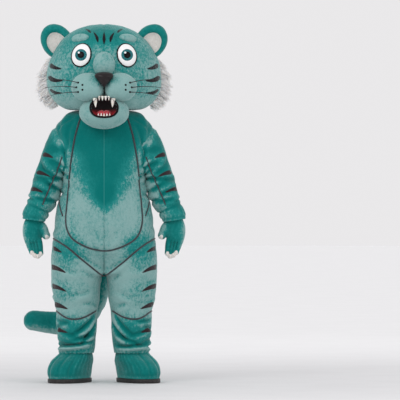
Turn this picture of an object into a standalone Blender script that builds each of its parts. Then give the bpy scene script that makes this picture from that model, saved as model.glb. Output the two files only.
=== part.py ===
"""A tiger mascot costume, hollow and standing as it is worn: a plush body suit with set-in sleeves and a
stuffed tail, two mitts, two boots and a foam head with its face.

Units are metres and +Z is up. The costume faces -Y, and its own left is +X. The origin is on the centre
line at shoulder height, where the wearer carries the suit. Tables give heights above the ground.
Cloth panels are one wall cut along their seams, with a seam's width of air between neighbours.
"""

import math
from collections import namedtuple

import bmesh
import bpy
from mathutils import Matrix, Vector

# Driving dimensions
SHOULDER_HEIGHT = 1.34  # the origin above the ground
CLOTH = 0.003  # plush with its backing
FOAM = 0.010  # wall of the head
PADDING = 0.004  # wall of the mitts and boots
SEAM = 0.0003  # air between two pieces that are sewn or glued together
CROTCH = 0.569
HIP = 0.72  # above this height the trunk is one tube
TRUNK_SQUARENESS = 0.88  # 1 is an ellipse, less is fuller at its corners
LEG_CORNER = math.radians(50)  # where a leg's outer arc turns in to its inner side
TRUNK_COLUMNS = 9  # from the front centre to the back centre, on one side
INNER_LEG_COLUMNS = 3
LEG_JOIN = 0.17  # share of a half turn over which the trunk opens into the legs
FAR = 0.6  # past every solid, for cutting shapes
PATTERN_TOP = 1.5  # above the suit
PATTERN_FLOOR = 0.05  # below its hems

# The trunk: half width at the side, and depth in front of and behind the side seam
Trunk = namedtuple("Trunk", "height half_width front back")
TRUNK = [
    Trunk(0.569, 0.274, 0.155, 0.165),
    Trunk(0.620, 0.273, 0.170, 0.178),
    Trunk(0.700, 0.267, 0.188, 0.186),
    Trunk(0.800, 0.257, 0.200, 0.174),
    Trunk(0.900, 0.243, 0.198, 0.158),
    Trunk(1.000, 0.212, 0.190, 0.152),
    Trunk(1.100, 0.206, 0.180, 0.158),
    Trunk(1.200, 0.222, 0.170, 0.166),
    Trunk(1.280, 0.240, 0.158, 0.164),
    Trunk(1.335, 0.234, 0.144, 0.154),
    Trunk(1.372, 0.198, 0.128, 0.138),
    Trunk(1.392, 0.150, 0.110, 0.118),
    Trunk(1.400, 0.115, 0.094, 0.100),
]
TRUNK_LEVELS = (
    1.400, 1.385, 1.350, 1.285, 1.200, 1.120, 1.045,
    0.970, 0.890, 0.810, 0.730, 0.665, 0.610, CROTCH,
)  # fmt: skip

Leg = namedtuple("Leg", "height centre half_width front back")
LEG = [
    Leg(0.152, 0.1425, 0.088, 0.100, 0.104),
    Leg(0.182, 0.1420, 0.094, 0.106, 0.110),
    Leg(0.258, 0.1410, 0.101, 0.114, 0.118),
    Leg(0.320, 0.1410, 0.105, 0.120, 0.124),
    Leg(0.378, 0.1405, 0.1065, 0.124, 0.130),
    Leg(0.424, 0.1420, 0.118, 0.132, 0.138),
    Leg(0.500, 0.1455, 0.1255, 0.142, 0.150),
    Leg(0.569, 0.1430, 0.131, 0.150, 0.160),
    Leg(0.720, 0.1430, 0.131, 0.165, 0.170),
]
LEG_LEVELS = (
    0.545, 0.520, 0.495, 0.467, 0.438, 0.405, 0.368, 0.335, 0.290, 0.240, 0.195, 0.152,
)  # fmt: skip

# Folds of the body suit. turn is 0 at the front centre and 1 at the back centre; slope is the rise in
# height for each whole turn; side is 1 for the left, -1 for the right and 0 for both.
Fold = namedtuple("Fold", "height turn spread width depth slope side")
BODY_FOLDS = [
    Fold(1.060, 0.32, 0.16, 0.034, -0.006, 0.20, 0),
    Fold(0.985, 0.58, 0.18, 0.030, -0.006, -0.10, 0),
    Fold(0.850, 0.60, 0.16, 0.030, -0.006, 0.06, 0),
    Fold(0.705, 0.22, 0.14, 0.028, -0.007, 0.15, 0),
    Fold(0.605, 0.80, 0.20, 0.018, -0.009, 0.03, 0),
    Fold(0.552, 0.82, 0.22, 0.016, 0.006, 0.02, 1),
    Fold(0.520, 0.84, 0.24, 0.016, -0.010, 0.03, 0),
    Fold(0.494, 0.80, 0.24, 0.016, 0.005, -0.03, -1),
    Fold(0.466, 0.82, 0.24, 0.017, -0.009, -0.03, 0),
    Fold(0.411, 0.80, 0.22, 0.018, -0.007, 0.03, 1),
    Fold(0.340, 0.30, 0.40, 0.020, -0.006, 0.03, 0),
    Fold(0.262, 0.25, 0.20, 0.024, -0.007, -0.12, 1),
    Fold(0.270, 0.30, 0.20, 0.024, -0.007, 0.12, -1),
    Fold(0.224, 0.80, 0.25, 0.022, -0.007, 0.04, 0),
    Fold(0.190, 0.45, 0.60, 0.016, -0.006, 0.02, 0),
]

# Seams of the left half as points of (distance from the centre line, height)
BELLY_SEAM = [
    (0.085, 1.460), (0.129, 1.337), (0.153, 1.245), (0.172, 1.120), (0.184, 1.000), (0.192, 0.910),
    (0.197, 0.850), (0.190, 0.790), (0.165, 0.745), (0.128, 0.718), (0.070, 0.692), (0.0, 0.680),
]  # fmt: skip
HIP_SEAM = [(FAR, 0.860), (0.262, 0.742), (0.196, 0.703), (0.119, 0.640), (0.050, 0.583), (0.0, 0.545)]
KNEE_SEAM = [(FAR, 0.380), (0.245, 0.367), (0.179, 0.330), (0.110, 0.335), (0.040, 0.369), (0.0, 0.385)]
YOKE_SEAM = [(FAR, 1.240), (0.300, 1.246), (0.217, 1.257), (0.165, 1.278), (0.0, 1.284)]
BACK_SEAM = [(0.128, 1.279), (0.1375, 1.173), (0.147, 1.091), (0.166, 0.990), (0.186, 0.906)]
JACKET_HEM_SIDE = [(0.186, 0.906), (0.204, 0.935), (0.217, 0.982), (0.300, 1.010), (FAR, 1.020)]
JACKET_HEM_CENTRE = [(0.0, 0.861), (0.070, 0.865), (0.1375, 0.879), (0.186, 0.906)]
SEAT_SEAM = [(0.186, 0.906), (0.198, 0.810), (0.200, 0.722), (0.171, 0.653), (0.085, 0.587), (0.0, 0.545)]
HIP_BACK_SEAM = [(FAR, 0.860), (0.262, 0.742), (0.200, 0.722)]

# A sleeve, from inside the armhole to the cuff; radius is in the front view, depth is front to back
Sleeve = namedtuple("Sleeve", "x y height radius depth gathers")
SLEEVE = [
    Sleeve(0.150, 0.000, 1.190, 0.138, 0.094, 0.0),
    Sleeve(0.198, 0.000, 1.178, 0.138, 0.094, 0.0),
    Sleeve(0.236, 0.000, 1.150, 0.100, 0.090, 0.0),
    Sleeve(0.274, -0.001, 1.098, 0.071, 0.084, 0.0),
    Sleeve(0.282, -0.002, 1.069, 0.073, 0.083, 0.0),
    Sleeve(0.290, -0.003, 1.040, 0.075, 0.082, 0.0),
    Sleeve(0.298, -0.006, 1.008, 0.075, 0.081, 0.0),
    Sleeve(0.308, -0.009, 0.974, 0.074, 0.079, 0.0),
    Sleeve(0.324, -0.014, 0.933, 0.070, 0.076, 0.001),
    Sleeve(0.344, -0.018, 0.892, 0.063, 0.067, 0.003),
    Sleeve(0.354, -0.020, 0.868, 0.068, 0.070, 0.003),
    Sleeve(0.363, -0.022, 0.842, 0.056, 0.058, 0.003),
]
ARMHOLE_ROWS = 4  # the rows that reach into the trunk
SLEEVE_SIDES = 12
SLEEVE_SPLIT = -0.008  # the plane of the sleeve's two long seams
SLEEVE_FOLDS = [
    Fold(1.075, 0.40, 0.30, 0.016, -0.006, 0.10, 0),
    Fold(1.030, 0.55, 0.30, 0.014, -0.006, -0.08, 1),
    Fold(1.005, 0.35, 0.30, 0.014, -0.006, 0.06, -1),
    Fold(0.945, 0.45, 0.40, 0.014, -0.005, 0.03, 0),
]

# The tail's middle line and radius, from inside the seat to the tip
Tail = namedtuple("Tail", "x y height radius")
TAIL = [
    Tail(-0.004, 0.130, 0.806, 0.046),
    Tail(-0.008, 0.212, 0.790, 0.052),
    Tail(-0.014, 0.262, 0.712, 0.057),
    Tail(-0.018, 0.285, 0.615, 0.062),
    Tail(-0.028, 0.298, 0.515, 0.067),
    Tail(-0.058, 0.310, 0.415, 0.069),
    Tail(-0.118, 0.322, 0.325, 0.067),
    Tail(-0.205, 0.330, 0.296, 0.061),
    Tail(-0.300, 0.325, 0.299, 0.057),
    Tail(-0.370, 0.312, 0.308, 0.052),
]
TAIL_SIDES = 10

# The head: rings from the crown to the neck opening
Head = namedtuple("Head", "height half_width front back")
HEAD = [
    Head(1.405, 0.150, 0.135, 0.140),
    Head(1.412, 0.198, 0.178, 0.188),
    Head(1.436, 0.240, 0.212, 0.217),
    Head(1.470, 0.270, 0.235, 0.238),
    Head(1.520, 0.291, 0.250, 0.250),
    Head(1.580, 0.295, 0.255, 0.252),
    Head(1.640, 0.285, 0.252, 0.248),
    Head(1.700, 0.262, 0.240, 0.235),
    Head(1.760, 0.222, 0.210, 0.210),
    Head(1.805, 0.172, 0.165, 0.165),
    Head(1.835, 0.105, 0.100, 0.100),
    Head(1.846, 0.045, 0.043, 0.043),
]
HEAD_SIDES = 20
CROWN = 1.848
HEAD_SPLIT = 0.030  # the plane between the face and the back of the head

# Pads on the face. x and height give the middle on the head's surface, rise lifts it outward, and
# roll turns it in the head's surface.
Pad = namedtuple("Pad", "x height rise half_width half_depth half_height roll")
MUZZLE = Pad(0.078, 1.520, 0.016, 0.086, 0.082, 0.072, 0)
NOSE_BRIDGE = Pad(0.0, 1.632, 0.002, 0.056, 0.044, 0.066, 0)
NOSE = Pad(0.0, 1.562, 0.078, 0.064, 0.038, 0.034, 0)
EYE = Pad(0.118, 1.682, -0.010, 0.054, 0.028, 0.062, 0)
BROW = Pad(0.124, 1.772, -0.004, 0.048, 0.020, 0.022, -6)
NOSE_TAPER = 0.45  # how much narrower the nose is at its foot

Ball = namedtuple("Ball", "x y height half_width half_depth half_height")
JAW = Ball(0.0, -0.230, 1.388, 0.128, 0.104, 0.084)
JAW_BACK = -0.165  # the jaw ends in front of the wearer's chest
MOUTH = Ball(0.0, -0.328, 1.414, 0.070, 0.087, 0.050)
MOUTH_FRONT = -0.322  # the lining starts here
TONGUE = Ball(0.0, -0.278, 1.380, 0.034, 0.028, 0.018)

EAR_CENTRE = Vector((0.240, 0.004, 1.756))
EAR_LEAN = math.radians(36)
EAR_SIZE = (0.080, 0.034, 0.098)
EAR_POCKET_SIZE = (0.054, 0.022, 0.070)
EAR_PAD_FRONT = 0.008  # depth of the pocket that the pale pad leaves open

# A fang at the mouth's corner, from inside the muzzle down to its tip
Fang = namedtuple("Fang", "x y height half_width half_depth")
FANG = [
    Fang(0.0460, -0.288, 1.492, 0.0115, 0.0100),
    Fang(0.0460, -0.298, 1.470, 0.0125, 0.0105),
    Fang(0.0455, -0.306, 1.450, 0.0110, 0.0090),
    Fang(0.0440, -0.311, 1.431, 0.0072, 0.0060),
    Fang(0.0425, -0.313, 1.412, 0.0, 0.0),
]
FANG_SIDES = 7

# Rows of small teeth: half_width of the row, heights of the gum and of the points
Teeth = namedtuple("Teeth", "half_width y gum points count")
UPPER_TEETH = Teeth(0.030, -0.318, 1.475, 1.442, 3)
LOWER_TEETH = Teeth(0.036, -0.318, 1.352, 1.387, 4)
TOOTH_DEPTH = 0.007
TOOTH_GAP = 0.72  # how far down the notches between the teeth lie
TEETH_BOW = 0.35  # how far a row's ends lie back, as a share of its half width

FUR_ANGLE = math.radians(100)  # from the face's middle round to the strip
FUR_STRIP_HEIGHTS = (1.440, 1.485, 1.530, 1.575, 1.620, 1.660)
FUR_STRIP_WIDTH = 0.030
FUR_STRIP_DEPTH = 0.005
FUR_ROOT_WIDTH = 0.0136
FUR_ROOT_DEPTH = 0.0084
Lock = namedtuple("Lock", "height backward rise length")
FUR_LOCKS = [
    Lock(1.452, 0.40, -0.75, 0.056),
    Lock(1.476, 0.26, -0.64, 0.064),
    Lock(1.501, 0.16, -0.76, 0.069),
    Lock(1.525, 0.33, -0.54, 0.075),
    Lock(1.550, 0.38, -0.59, 0.073),
    Lock(1.575, 0.21, -0.58, 0.075),
    Lock(1.599, 0.19, -0.39, 0.067),
    Lock(1.623, 0.37, -0.53, 0.066),
    Lock(1.648, 0.34, -0.37, 0.053),
]

WHISKER_ROOT = Vector((0.159, -0.290, 1.508))
WHISKER_RADIUS = 0.0014
Whisker = namedtuple("Whisker", "rise length slope")
WHISKERS = [Whisker(0.014, 0.130, 0.18), Whisker(0.0, 0.140, 0.02), Whisker(-0.014, 0.125, -0.16)]

# A mitt, in a frame with its origin at the wrist: across is away from the body, along is down the hand.
# middle is how far a ring's middle lies across.
Palm = namedtuple("Palm", "along middle half_width half_depth")
PALM = [
    Palm(-0.040, 0.000, 0.034, 0.032),
    Palm(0.000, 0.000, 0.039, 0.035),
    Palm(0.016, 0.002, 0.046, 0.038),
    Palm(0.045, 0.008, 0.051, 0.040),
    Palm(0.085, 0.015, 0.047, 0.037),
    Palm(0.128, 0.015, 0.040, 0.027),
]
Finger = namedtuple("Finger", "across along tip_across tip_along radius")
FINGERS = [
    Finger(-0.012, 0.090, -0.020, 0.202, 0.0185),
    Finger(0.004, 0.095, -0.005, 0.214, 0.0185),
    Finger(0.021, 0.095, 0.009, 0.208, 0.0180),
    Finger(0.039, 0.095, 0.022, 0.192, 0.0175),
    Finger(-0.026, 0.028, -0.066, 0.118, 0.0260),
]
FINGER_SHAPE = ((0.0, 0.80), (0.55, 1.05), (0.90, 0.75))  # shares of the length and of the radius
FINGER_BOW = -0.004  # how far a fingertip lies in front of the hand
HAND_HOLLOW = [
    Palm(-0.060, 0.000, 0.0300, 0.0280),
    Palm(0.000, 0.000, 0.0340, 0.0310),
    Palm(0.060, 0.009, 0.0440, 0.0340),
    Palm(0.115, 0.013, 0.0340, 0.0180),
]
WRIST = Vector((0.366, -0.022, 0.850))
HAND_LEAN = math.radians(6)
CLAW_LENGTH = 0.026  # the pale end of each finger
CLAW_HALF_WIDTH = 0.0066
PALM_EDGE = 0.004  # the palm begins this far behind the hand's middle
THUMB_EDGE = ((-0.036, 0.118), (-0.100, 0.102))  # the plush back's edge on the thumb

# A boot, in a frame with its origin under the ankle; out is how far a ring's middle lies outward
Boot = namedtuple("Boot", "height out half_width toe heel")
BOOT = [
    Boot(0.023, 0.023, 0.095, 0.196, 0.104),
    Boot(0.050, 0.024, 0.099, 0.205, 0.110),
    Boot(0.082, 0.021, 0.101, 0.192, 0.110),
    Boot(0.112, 0.013, 0.100, 0.158, 0.106),
    Boot(0.132, 0.005, 0.090, 0.120, 0.096),
    Boot(0.150, -0.002, 0.074, 0.085, 0.081),
    Boot(0.186, -0.002, 0.065, 0.068, 0.068),
]
BOOT_SIDES = 18
BOOT_CENTRE = Vector((0.146, 0.002, 0.0))
BOOT_SPLAY = math.radians(20)
BOOT_SQUARENESS = 0.86
SOLE_THICKNESS = 0.0227
SOLE_LIP = 0.004
TOE_GROOVES = (-2, 0, 2)  # columns from the toe's middle
TOE_GROOVE_DEPTH = 0.004

# Colours as (red, green, blue, roughness)
COLOURS = {
    "teal_plush": (0.010, 0.170, 0.155, 0.95),
    "pale_teal_plush": (0.160, 0.370, 0.340, 0.95),
    "white_plush": (0.800, 0.780, 0.740, 0.95),
    "white_fur": (0.830, 0.820, 0.790, 0.90),
    "black_gloss": (0.010, 0.010, 0.011, 0.15),
    "white_gloss": (0.850, 0.840, 0.800, 0.25),
    "mouth_red": (0.300, 0.015, 0.020, 0.60),
    "tongue_pink": (0.550, 0.060, 0.070, 0.50),
    "sole_rubber": (0.012, 0.012, 0.013, 0.70),
    "whisker": (0.020, 0.019, 0.020, 0.40),
}


# Reading tables and curves


def up(height):
    """A height above the ground as a height above the origin."""
    return height - SHOULDER_HEIGHT


def read(table, at):
    """The table's row at any value of its first column, on a smooth curve through its rows."""
    places = [row[0] for row in table]
    at = min(max(at, places[0]), places[-1])
    i = max(j for j in range(len(table) - 1) if places[j] <= at)
    span = places[i + 1] - places[i]
    t = (at - places[i]) / span

    def slope(j, column):
        before, after = max(j - 1, 0), min(j + 1, len(table) - 1)
        return (table[after][column] - table[before][column]) / (places[after] - places[before])

    values = [at]
    for column in range(1, len(table[0])):
        start, end = table[i][column], table[i + 1][column]
        lead, trail = slope(i, column) * span, slope(i + 1, column) * span
        values.append(
            start * (1 + 2 * t) * (1 - t) ** 2
            + lead * t * (1 - t) ** 2
            + end * t * t * (3 - 2 * t)
            - trail * t * t * (1 - t)
        )
    return type(table[0])(*values)


def eased(t):
    """0 below 0, 1 above 1 and smooth between."""
    t = min(max(t, 0.0), 1.0)
    return t * t * (3 - 2 * t)


def power(value, exponent):
    return math.copysign(abs(value) ** exponent, value)


def fold_height(folds, height, turn, side):
    """How far the folds push the cloth outward at a place."""
    total = 0.0
    for fold in folds:
        if fold.side in (0, side):
            off_turn = turn - fold.turn
            off_height = height - fold.height - fold.slope * off_turn
            total += fold.depth * math.exp(-((off_height / fold.width) ** 2) - (off_turn / fold.spread) ** 2)
    return total


# Meshes and objects


def material(name):
    found = bpy.data.materials.get(name)
    if found:
        return found
    made = bpy.data.materials.new(name)
    made.use_nodes = True
    shader = made.node_tree.nodes["Principled BSDF"]
    red, green, blue, roughness = COLOURS[name]
    shader.inputs["Base Color"].default_value = (red, green, blue, 1)
    shader.inputs["Roughness"].default_value = roughness
    made.diffuse_color = (red, green, blue, 1)
    return made


def split_faces(bm):
    """Four-sided faces become triangles along the same diagonal on every copy of a surface."""
    fours = [face for face in bm.faces if len(face.verts) == 4]
    bmesh.ops.triangulate(bm, faces=fours, quad_method="FIXED")


def mesh_from(name, points, faces):
    """A mesh with heights measured from the origin, its faces pointing outward."""
    bm = bmesh.new()
    verts = [bm.verts.new((x, y, up(z))) for x, y, z in points]
    for face in faces:
        bm.faces.new([verts[i] for i in face])
    bmesh.ops.remove_doubles(bm, verts=bm.verts, dist=1e-6)
    split_faces(bm)
    bmesh.ops.recalc_face_normals(bm, faces=bm.faces)
    mesh = bpy.data.meshes.new(name)
    bm.to_mesh(mesh)
    bm.free()
    return mesh


def add(name, mesh, look):
    """An object for a mesh, which other objects may share, with its own look."""
    made = bpy.data.objects.new(name, mesh)
    bpy.context.scene.collection.objects.link(made)
    if not mesh.materials:
        mesh.materials.append(material(look))
    made.material_slots[0].link = "OBJECT"
    made.material_slots[0].material = material(look)
    mesh.shade_smooth()
    return made


def guide(name, mesh):
    """An object that only cuts others."""
    made = add(name, mesh, "sole_rubber")
    made.hide_render = True
    made.display_type = "WIRE"
    return made


def thicken(body, wall):
    step = body.modifiers.new("wall", "SOLIDIFY")
    step.thickness = wall
    step.offset = -1
    step.use_even_offset = True
    step.use_quality_normals = True


def carve(body, operation, *cutters):
    for cutter in cutters:
        step = body.modifiers.new(cutter.name, "BOOLEAN")
        step.operation = operation
        step.solver = "EXACT"
        step.object = cutter


def loft(name, rings, start_cap=None, end_cap=None):
    """A tube through rings of equal count. A cap is the point that closes that end as a fan."""
    points = [point for ring in rings for point in ring]
    count = len(rings[0])
    faces = []
    for i in range(len(rings) - 1):
        for j in range(count):
            k = (j + 1) % count
            faces.append((i * count + j, i * count + k, (i + 1) * count + k, (i + 1) * count + j))
    for cap, first in ((start_cap, 0), (end_cap, (len(rings) - 1) * count)):
        if cap is not None:
            points.append(cap)
            faces += [(first + j, first + (j + 1) % count, len(points) - 1) for j in range(count)]
    return mesh_from(name, points, faces)


def prism(name, outline, front, back):
    """A guide block: an outline of (x, height) points from one y to another."""
    count = len(outline)
    points = [(x, y, z) for y in (front, back) for x, z in outline]
    faces = [tuple(range(count)), tuple(range(count, 2 * count))]
    faces += [(j, (j + 1) % count, count + (j + 1) % count, count + j) for j in range(count)]
    return guide(name, mesh_from(name, points, faces))


def inset(outline, by):
    """The outline with every edge moved inward."""
    area = sum(
        a[0] * b[1] - b[0] * a[1] for a, b in zip(outline, outline[1:] + outline[:1], strict=True)
    )
    turn = 1 if area > 0 else -1
    moved = []
    for i, here in enumerate(outline):
        here = Vector(here)
        before = (here - Vector(outline[i - 1])).normalized()
        after = (Vector(outline[(i + 1) % len(outline)]) - here).normalized()
        normal_before = Vector((-before.y, before.x)) * turn
        normal_after = Vector((-after.y, after.x)) * turn
        bisector = (normal_before + normal_after).normalized()
        moved.append(tuple(here + bisector * by / max(bisector.dot(normal_after), 0.3)))
    return moved


def flipped(outline, side):
    return [(side * x, z) for x, z in outline]


# The body suit


def trunk_point(height, turn):
    row = read(TRUNK, height)
    angle = math.pi * turn
    depth = row.front if turn < 0.5 else row.back
    x = row.half_width * power(math.sin(angle), TRUNK_SQUARENESS)
    return Vector((x, -depth * power(math.cos(angle), TRUNK_SQUARENESS), height))


def leg_point(height, turn):
    """A leg's outer arc for a turn from 0 to 1 and its inner side from 1 to 2."""
    row = read(LEG, height)
    if turn <= 1:
        angle = -LEG_CORNER + (math.pi + 2 * LEG_CORNER) * turn
    else:
        angle = math.pi + LEG_CORNER + (math.pi - 2 * LEG_CORNER) * (turn - 1)
    depth = row.front if math.cos(angle) > 0 else row.back
    return Vector((row.centre + row.half_width * math.sin(angle), -depth * math.cos(angle), height))


def body_point(height, turn, side):
    """A point of the suit's outer face, on the left for side 1 and on the right for side -1."""
    if height >= CROTCH and turn <= 1:
        legs = eased((HIP - height) / (HIP - CROTCH))
        point = trunk_point(height, turn).lerp(leg_point(height, turn), legs)
        end = round(turn)
        inward = 1 - eased(abs(turn - end) / LEG_JOIN)
        point.x -= leg_point(height, end).x * legs * inward
        axis = Vector((read(LEG, height).centre * legs, 0, height))
    else:
        point = leg_point(height, turn)
        axis = Vector((read(LEG, height).centre, 0, height))
    around = turn if turn <= 1 else 2 - turn
    push = fold_height(BODY_FOLDS, height, around, side)
    if turn in (0, 1) and height >= CROTCH:
        push = 0.0
    point += (point - axis).normalized() * push
    point.x *= side
    return point


def crotch_points(side):
    """The line under the crotch, from back to front, where the two legs meet."""
    back, front = body_point(CROTCH, 1, side), body_point(CROTCH, 0, side)
    count = INNER_LEG_COLUMNS
    return [back.lerp(front, i / count) for i in range(1, count)]


def body_mesh(name, grow=0.0, closed=False):
    """The suit's outer face, open at the neck and ankles, or closed and grown for cutting."""
    columns = [i / TRUNK_COLUMNS for i in range(TRUNK_COLUMNS + 1)]
    inner = [1 + i / INNER_LEG_COLUMNS for i in range(1, INNER_LEG_COLUMNS)]
    bm = bmesh.new()

    def place(points):
        return [bm.verts.new((p.x, p.y, up(p.z))) for p in points]

    for side in (1, -1):
        rows = [place([body_point(level, turn, side) for turn in columns]) for level in TRUNK_LEVELS]
        for above, below in zip(rows, rows[1:], strict=False):
            for j in range(TRUNK_COLUMNS):
                bm.faces.new((above[j], above[j + 1], below[j + 1], below[j]))
        ring = rows[-1] + place(crotch_points(side))
        for level in LEG_LEVELS:
            below = place([body_point(level, turn, side) for turn in columns + inner])
            for j in range(len(ring)):
                k = (j + 1) % len(ring)
                bm.faces.new((ring[j], ring[k], below[k], below[j]))
            ring = below
    bmesh.ops.remove_doubles(bm, verts=bm.verts, dist=1e-5)
    split_faces(bm)
    bmesh.ops.recalc_face_normals(bm, faces=bm.faces)
    if closed:
        bm.normal_update()
        for vert in bm.verts:
            vert.co += vert.normal * grow
        bmesh.ops.holes_fill(bm, edges=[e for e in bm.edges if e.is_boundary], sides=0)
        bmesh.ops.recalc_face_normals(bm, faces=bm.faces)
    mesh = bpy.data.meshes.new(name)
    bm.to_mesh(mesh)
    bm.free()
    return mesh


def closed_outline(*seams):
    """Seams joined end to end, without the doubled points."""
    points = []
    for seam in seams:
        for point in seam:
            if not points or (Vector(point) - Vector(points[-1])).length > 1e-6:
                points.append(point)
    if (Vector(points[0]) - Vector(points[-1])).length < 1e-6:
        points.pop()
    return points


def half_outlines():
    """Outlines of the left half's panels, and whether each lies in front."""
    below = [(0.0, PATTERN_FLOOR), (FAR, PATTERN_FLOOR)]
    above = [(FAR, PATTERN_TOP), (BELLY_SEAM[0][0], PATTERN_TOP)]
    side_seat, inner_seat = SEAT_SEAM[:3], SEAT_SEAM[2:]
    return {
        "front_side": (closed_outline(BELLY_SEAM, HIP_SEAM[::-1], above), True),
        "thigh_front": (closed_outline(HIP_SEAM, KNEE_SEAM[::-1]), True),
        "shin_front": (closed_outline(KNEE_SEAM, below), True),
        "back_side": (closed_outline(BACK_SEAM, JACKET_HEM_SIDE, YOKE_SEAM[:4]), False),
        "hip_back": (closed_outline(JACKET_HEM_SIDE[::-1], side_seat, HIP_BACK_SEAM[::-1]), False),
        "leg_back": (closed_outline(HIP_BACK_SEAM, inner_seat, below), False),
    }


def middle_outlines():
    """Outlines of the panels that cross the centre line."""

    def across(seam):
        """A seam that ends on the centre line, and on through its mirror image."""
        return seam + flipped(seam[::-1], -1)

    hem = across(JACKET_HEM_CENTRE[::-1])
    neck = BELLY_SEAM[0][0]
    above_neck = [(-neck, PATTERN_TOP), (neck, PATTERN_TOP)]
    return {
        "belly_panel": (closed_outline(across(BELLY_SEAM), above_neck), True),
        "back_yoke": (closed_outline(across(YOKE_SEAM), [(-FAR, PATTERN_TOP), (FAR, PATTERN_TOP)]), False),
        "back_centre": (
            closed_outline(BACK_SEAM, hem, flipped(BACK_SEAM[::-1], -1), across(YOKE_SEAM[3:])[::-1]),
            False,
        ),
        "seat_panel": (closed_outline(across(SEAT_SEAM), hem[::-1]), False),
    }


def cloth_panel(name, outline, in_front, armholes, body):
    reach = (-FAR, -SEAM / 2) if in_front else (SEAM / 2, FAR)
    made = add(name, body, "teal_plush")
    thicken(made, CLOTH)
    carve(made, "INTERSECT", prism(f"{name}_pattern", inset(outline, SEAM / 2), *reach))
    carve(made, "DIFFERENCE", *armholes)


def sleeve_rings(side, shrink):
    """Rings of a sleeve from inside the armhole to the cuff, each square to the sleeve's line."""
    rings = []
    for i, row in enumerate(SLEEVE):
        before, after = SLEEVE[max(i - 1, 0)], SLEEVE[min(i + 1, len(SLEEVE) - 1)]
        along = Vector((after.x - before.x, 0, after.height - before.height)).normalized()
        outward = Vector((-along.z, 0, along.x))
        middle = Vector((row.x, row.y, row.height))
        ring = []
        for j in range(SLEEVE_SIDES):
            angle = 2 * math.pi * j / SLEEVE_SIDES
            turn = abs(1 - 2 * j / SLEEVE_SIDES)
            push = fold_height(SLEEVE_FOLDS, row.height, 1 - turn, side)
            push += row.gathers * (-1) ** j - shrink
            point = middle + outward * math.cos(angle) * (row.radius + push)
            point.y -= math.sin(angle) * (row.depth + push)
            point.x *= side
            ring.append(tuple(point))
        rings.append((tuple((middle.x * side, middle.y, middle.z)), ring))
    return rings


def sleeve(side, letter, trunk):
    rings = sleeve_rings(side, 0.0)
    mesh = loft(f"sleeve_{letter}", [ring for _, ring in rings])
    halves = (("sleeve_front", -FAR, SLEEVE_SPLIT - SEAM / 2), ("sleeve_back", SLEEVE_SPLIT + SEAM / 2, FAR))
    low, high = PATTERN_FLOOR, PATTERN_TOP
    frame = flipped([(0.0, low), (FAR, low), (FAR, high), (0.0, high)], side)
    for name, front, back in halves:
        made = add(f"{name}_{letter}", mesh, "teal_plush")
        thicken(made, CLOTH)
        carve(made, "DIFFERENCE", trunk)
        carve(made, "INTERSECT", prism(f"{name}_{letter}_pattern", frame, front, back))


def armhole(side, letter):
    rings = sleeve_rings(side, CLOTH + SEAM)[:ARMHOLE_ROWS]
    mesh = loft(f"armhole_{letter}", [ring for _, ring in rings], rings[0][0], rings[-1][0])
    return guide(f"armhole_{letter}", mesh)


def tube_rings(rows, sides):
    """Round rings along a middle line in space, without twist."""
    centres = [Vector((row.x, row.y, row.height)) for row in rows]
    across = Vector((1, 0, 0))
    rings = []
    for i, row in enumerate(rows):
        along = (centres[min(i + 1, len(rows) - 1)] - centres[max(i - 1, 0)]).normalized()
        across = (across - along * across.dot(along)).normalized()
        other = along.cross(across)
        angles = [2 * math.pi * j / sides for j in range(sides)]
        rings.append(
            [tuple(centres[i] + (across * math.cos(a) + other * math.sin(a)) * row.radius) for a in angles]
        )
    return rings, centres


def tail(trunk):
    rows = list(TAIL)
    last, before = rows[-1], rows[-2]
    along = Vector((last.x - before.x, last.y - before.y, last.height - before.height)).normalized()
    end = Vector((last.x, last.y, last.height))
    for reach, share in ((0.45, 0.88), (0.80, 0.58)):
        rows.append(Tail(*(end + along * reach * last.radius), last.radius * share))
    rings, centres = tube_rings(rows, TAIL_SIDES)
    mesh = loft("tail", rings, tuple(centres[0]), tuple(end + along * last.radius))
    carve(add("tail", mesh, "teal_plush"), "DIFFERENCE", trunk)


def body_suit():
    trunk = guide("trunk", body_mesh("trunk", SEAM, closed=True))
    body = body_mesh("body")
    sides = ((1, "L"), (-1, "R"))
    holes = {letter: armhole(side, letter) for side, letter in sides}
    with_holes = ("front_side", "back_side")
    for name, (outline, in_front) in half_outlines().items():
        for side, letter in sides:
            cuts = [holes[letter]] if name in with_holes else []
            cloth_panel(f"{name}_{letter}", flipped(outline, side), in_front, cuts, body)
    for name, (outline, in_front) in middle_outlines().items():
        cuts = list(holes.values()) if name == "back_yoke" else []
        cloth_panel(name, outline, in_front, cuts, body)
    for side, letter in sides:
        sleeve(side, letter, trunk)
    tail(trunk)
    return trunk


# The head


def head_point(height, angle, grow=0.0):
    """A point of the head's outer face; angle is 0 at the face and positive towards the left."""
    row = read(HEAD, height)
    depth = (row.front if math.cos(angle) > 0 else row.back) + grow
    return Vector(((row.half_width + grow) * math.sin(angle), -depth * math.cos(angle), height))


def head_mesh(name, grow=0.0, closed=False):
    angles = [2 * math.pi * j / HEAD_SIDES for j in range(HEAD_SIDES)]
    rings = [[tuple(head_point(row.height, a, grow)) for a in angles] for row in HEAD]
    bottom = (0, 0, HEAD[0].height - grow) if closed else None
    return loft(name, rings, bottom, (0, 0, CROWN + grow))


def head_frame(x, height, rise, side):
    """A frame on the head's surface: -Y points out of it and Z up it."""
    angle = math.asin(x / read(HEAD, height).half_width)
    step = 0.01
    here = head_point(height, angle)
    across = head_point(height, angle + step) - head_point(height, angle - step)
    upward = head_point(height + step, angle) - head_point(height - step, angle)
    out = across.cross(upward).normalized()
    across.normalize()
    upward = out.cross(across).normalized()
    centre = here + out * rise
    if side < 0:
        centre.x, out.x, upward.x = -centre.x, -out.x, -upward.x
        across = upward.cross(out)
    centre.z = up(centre.z)
    turned = Matrix((across, -out, upward)).transposed().to_4x4()
    return Matrix.Translation(centre) @ turned


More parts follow.
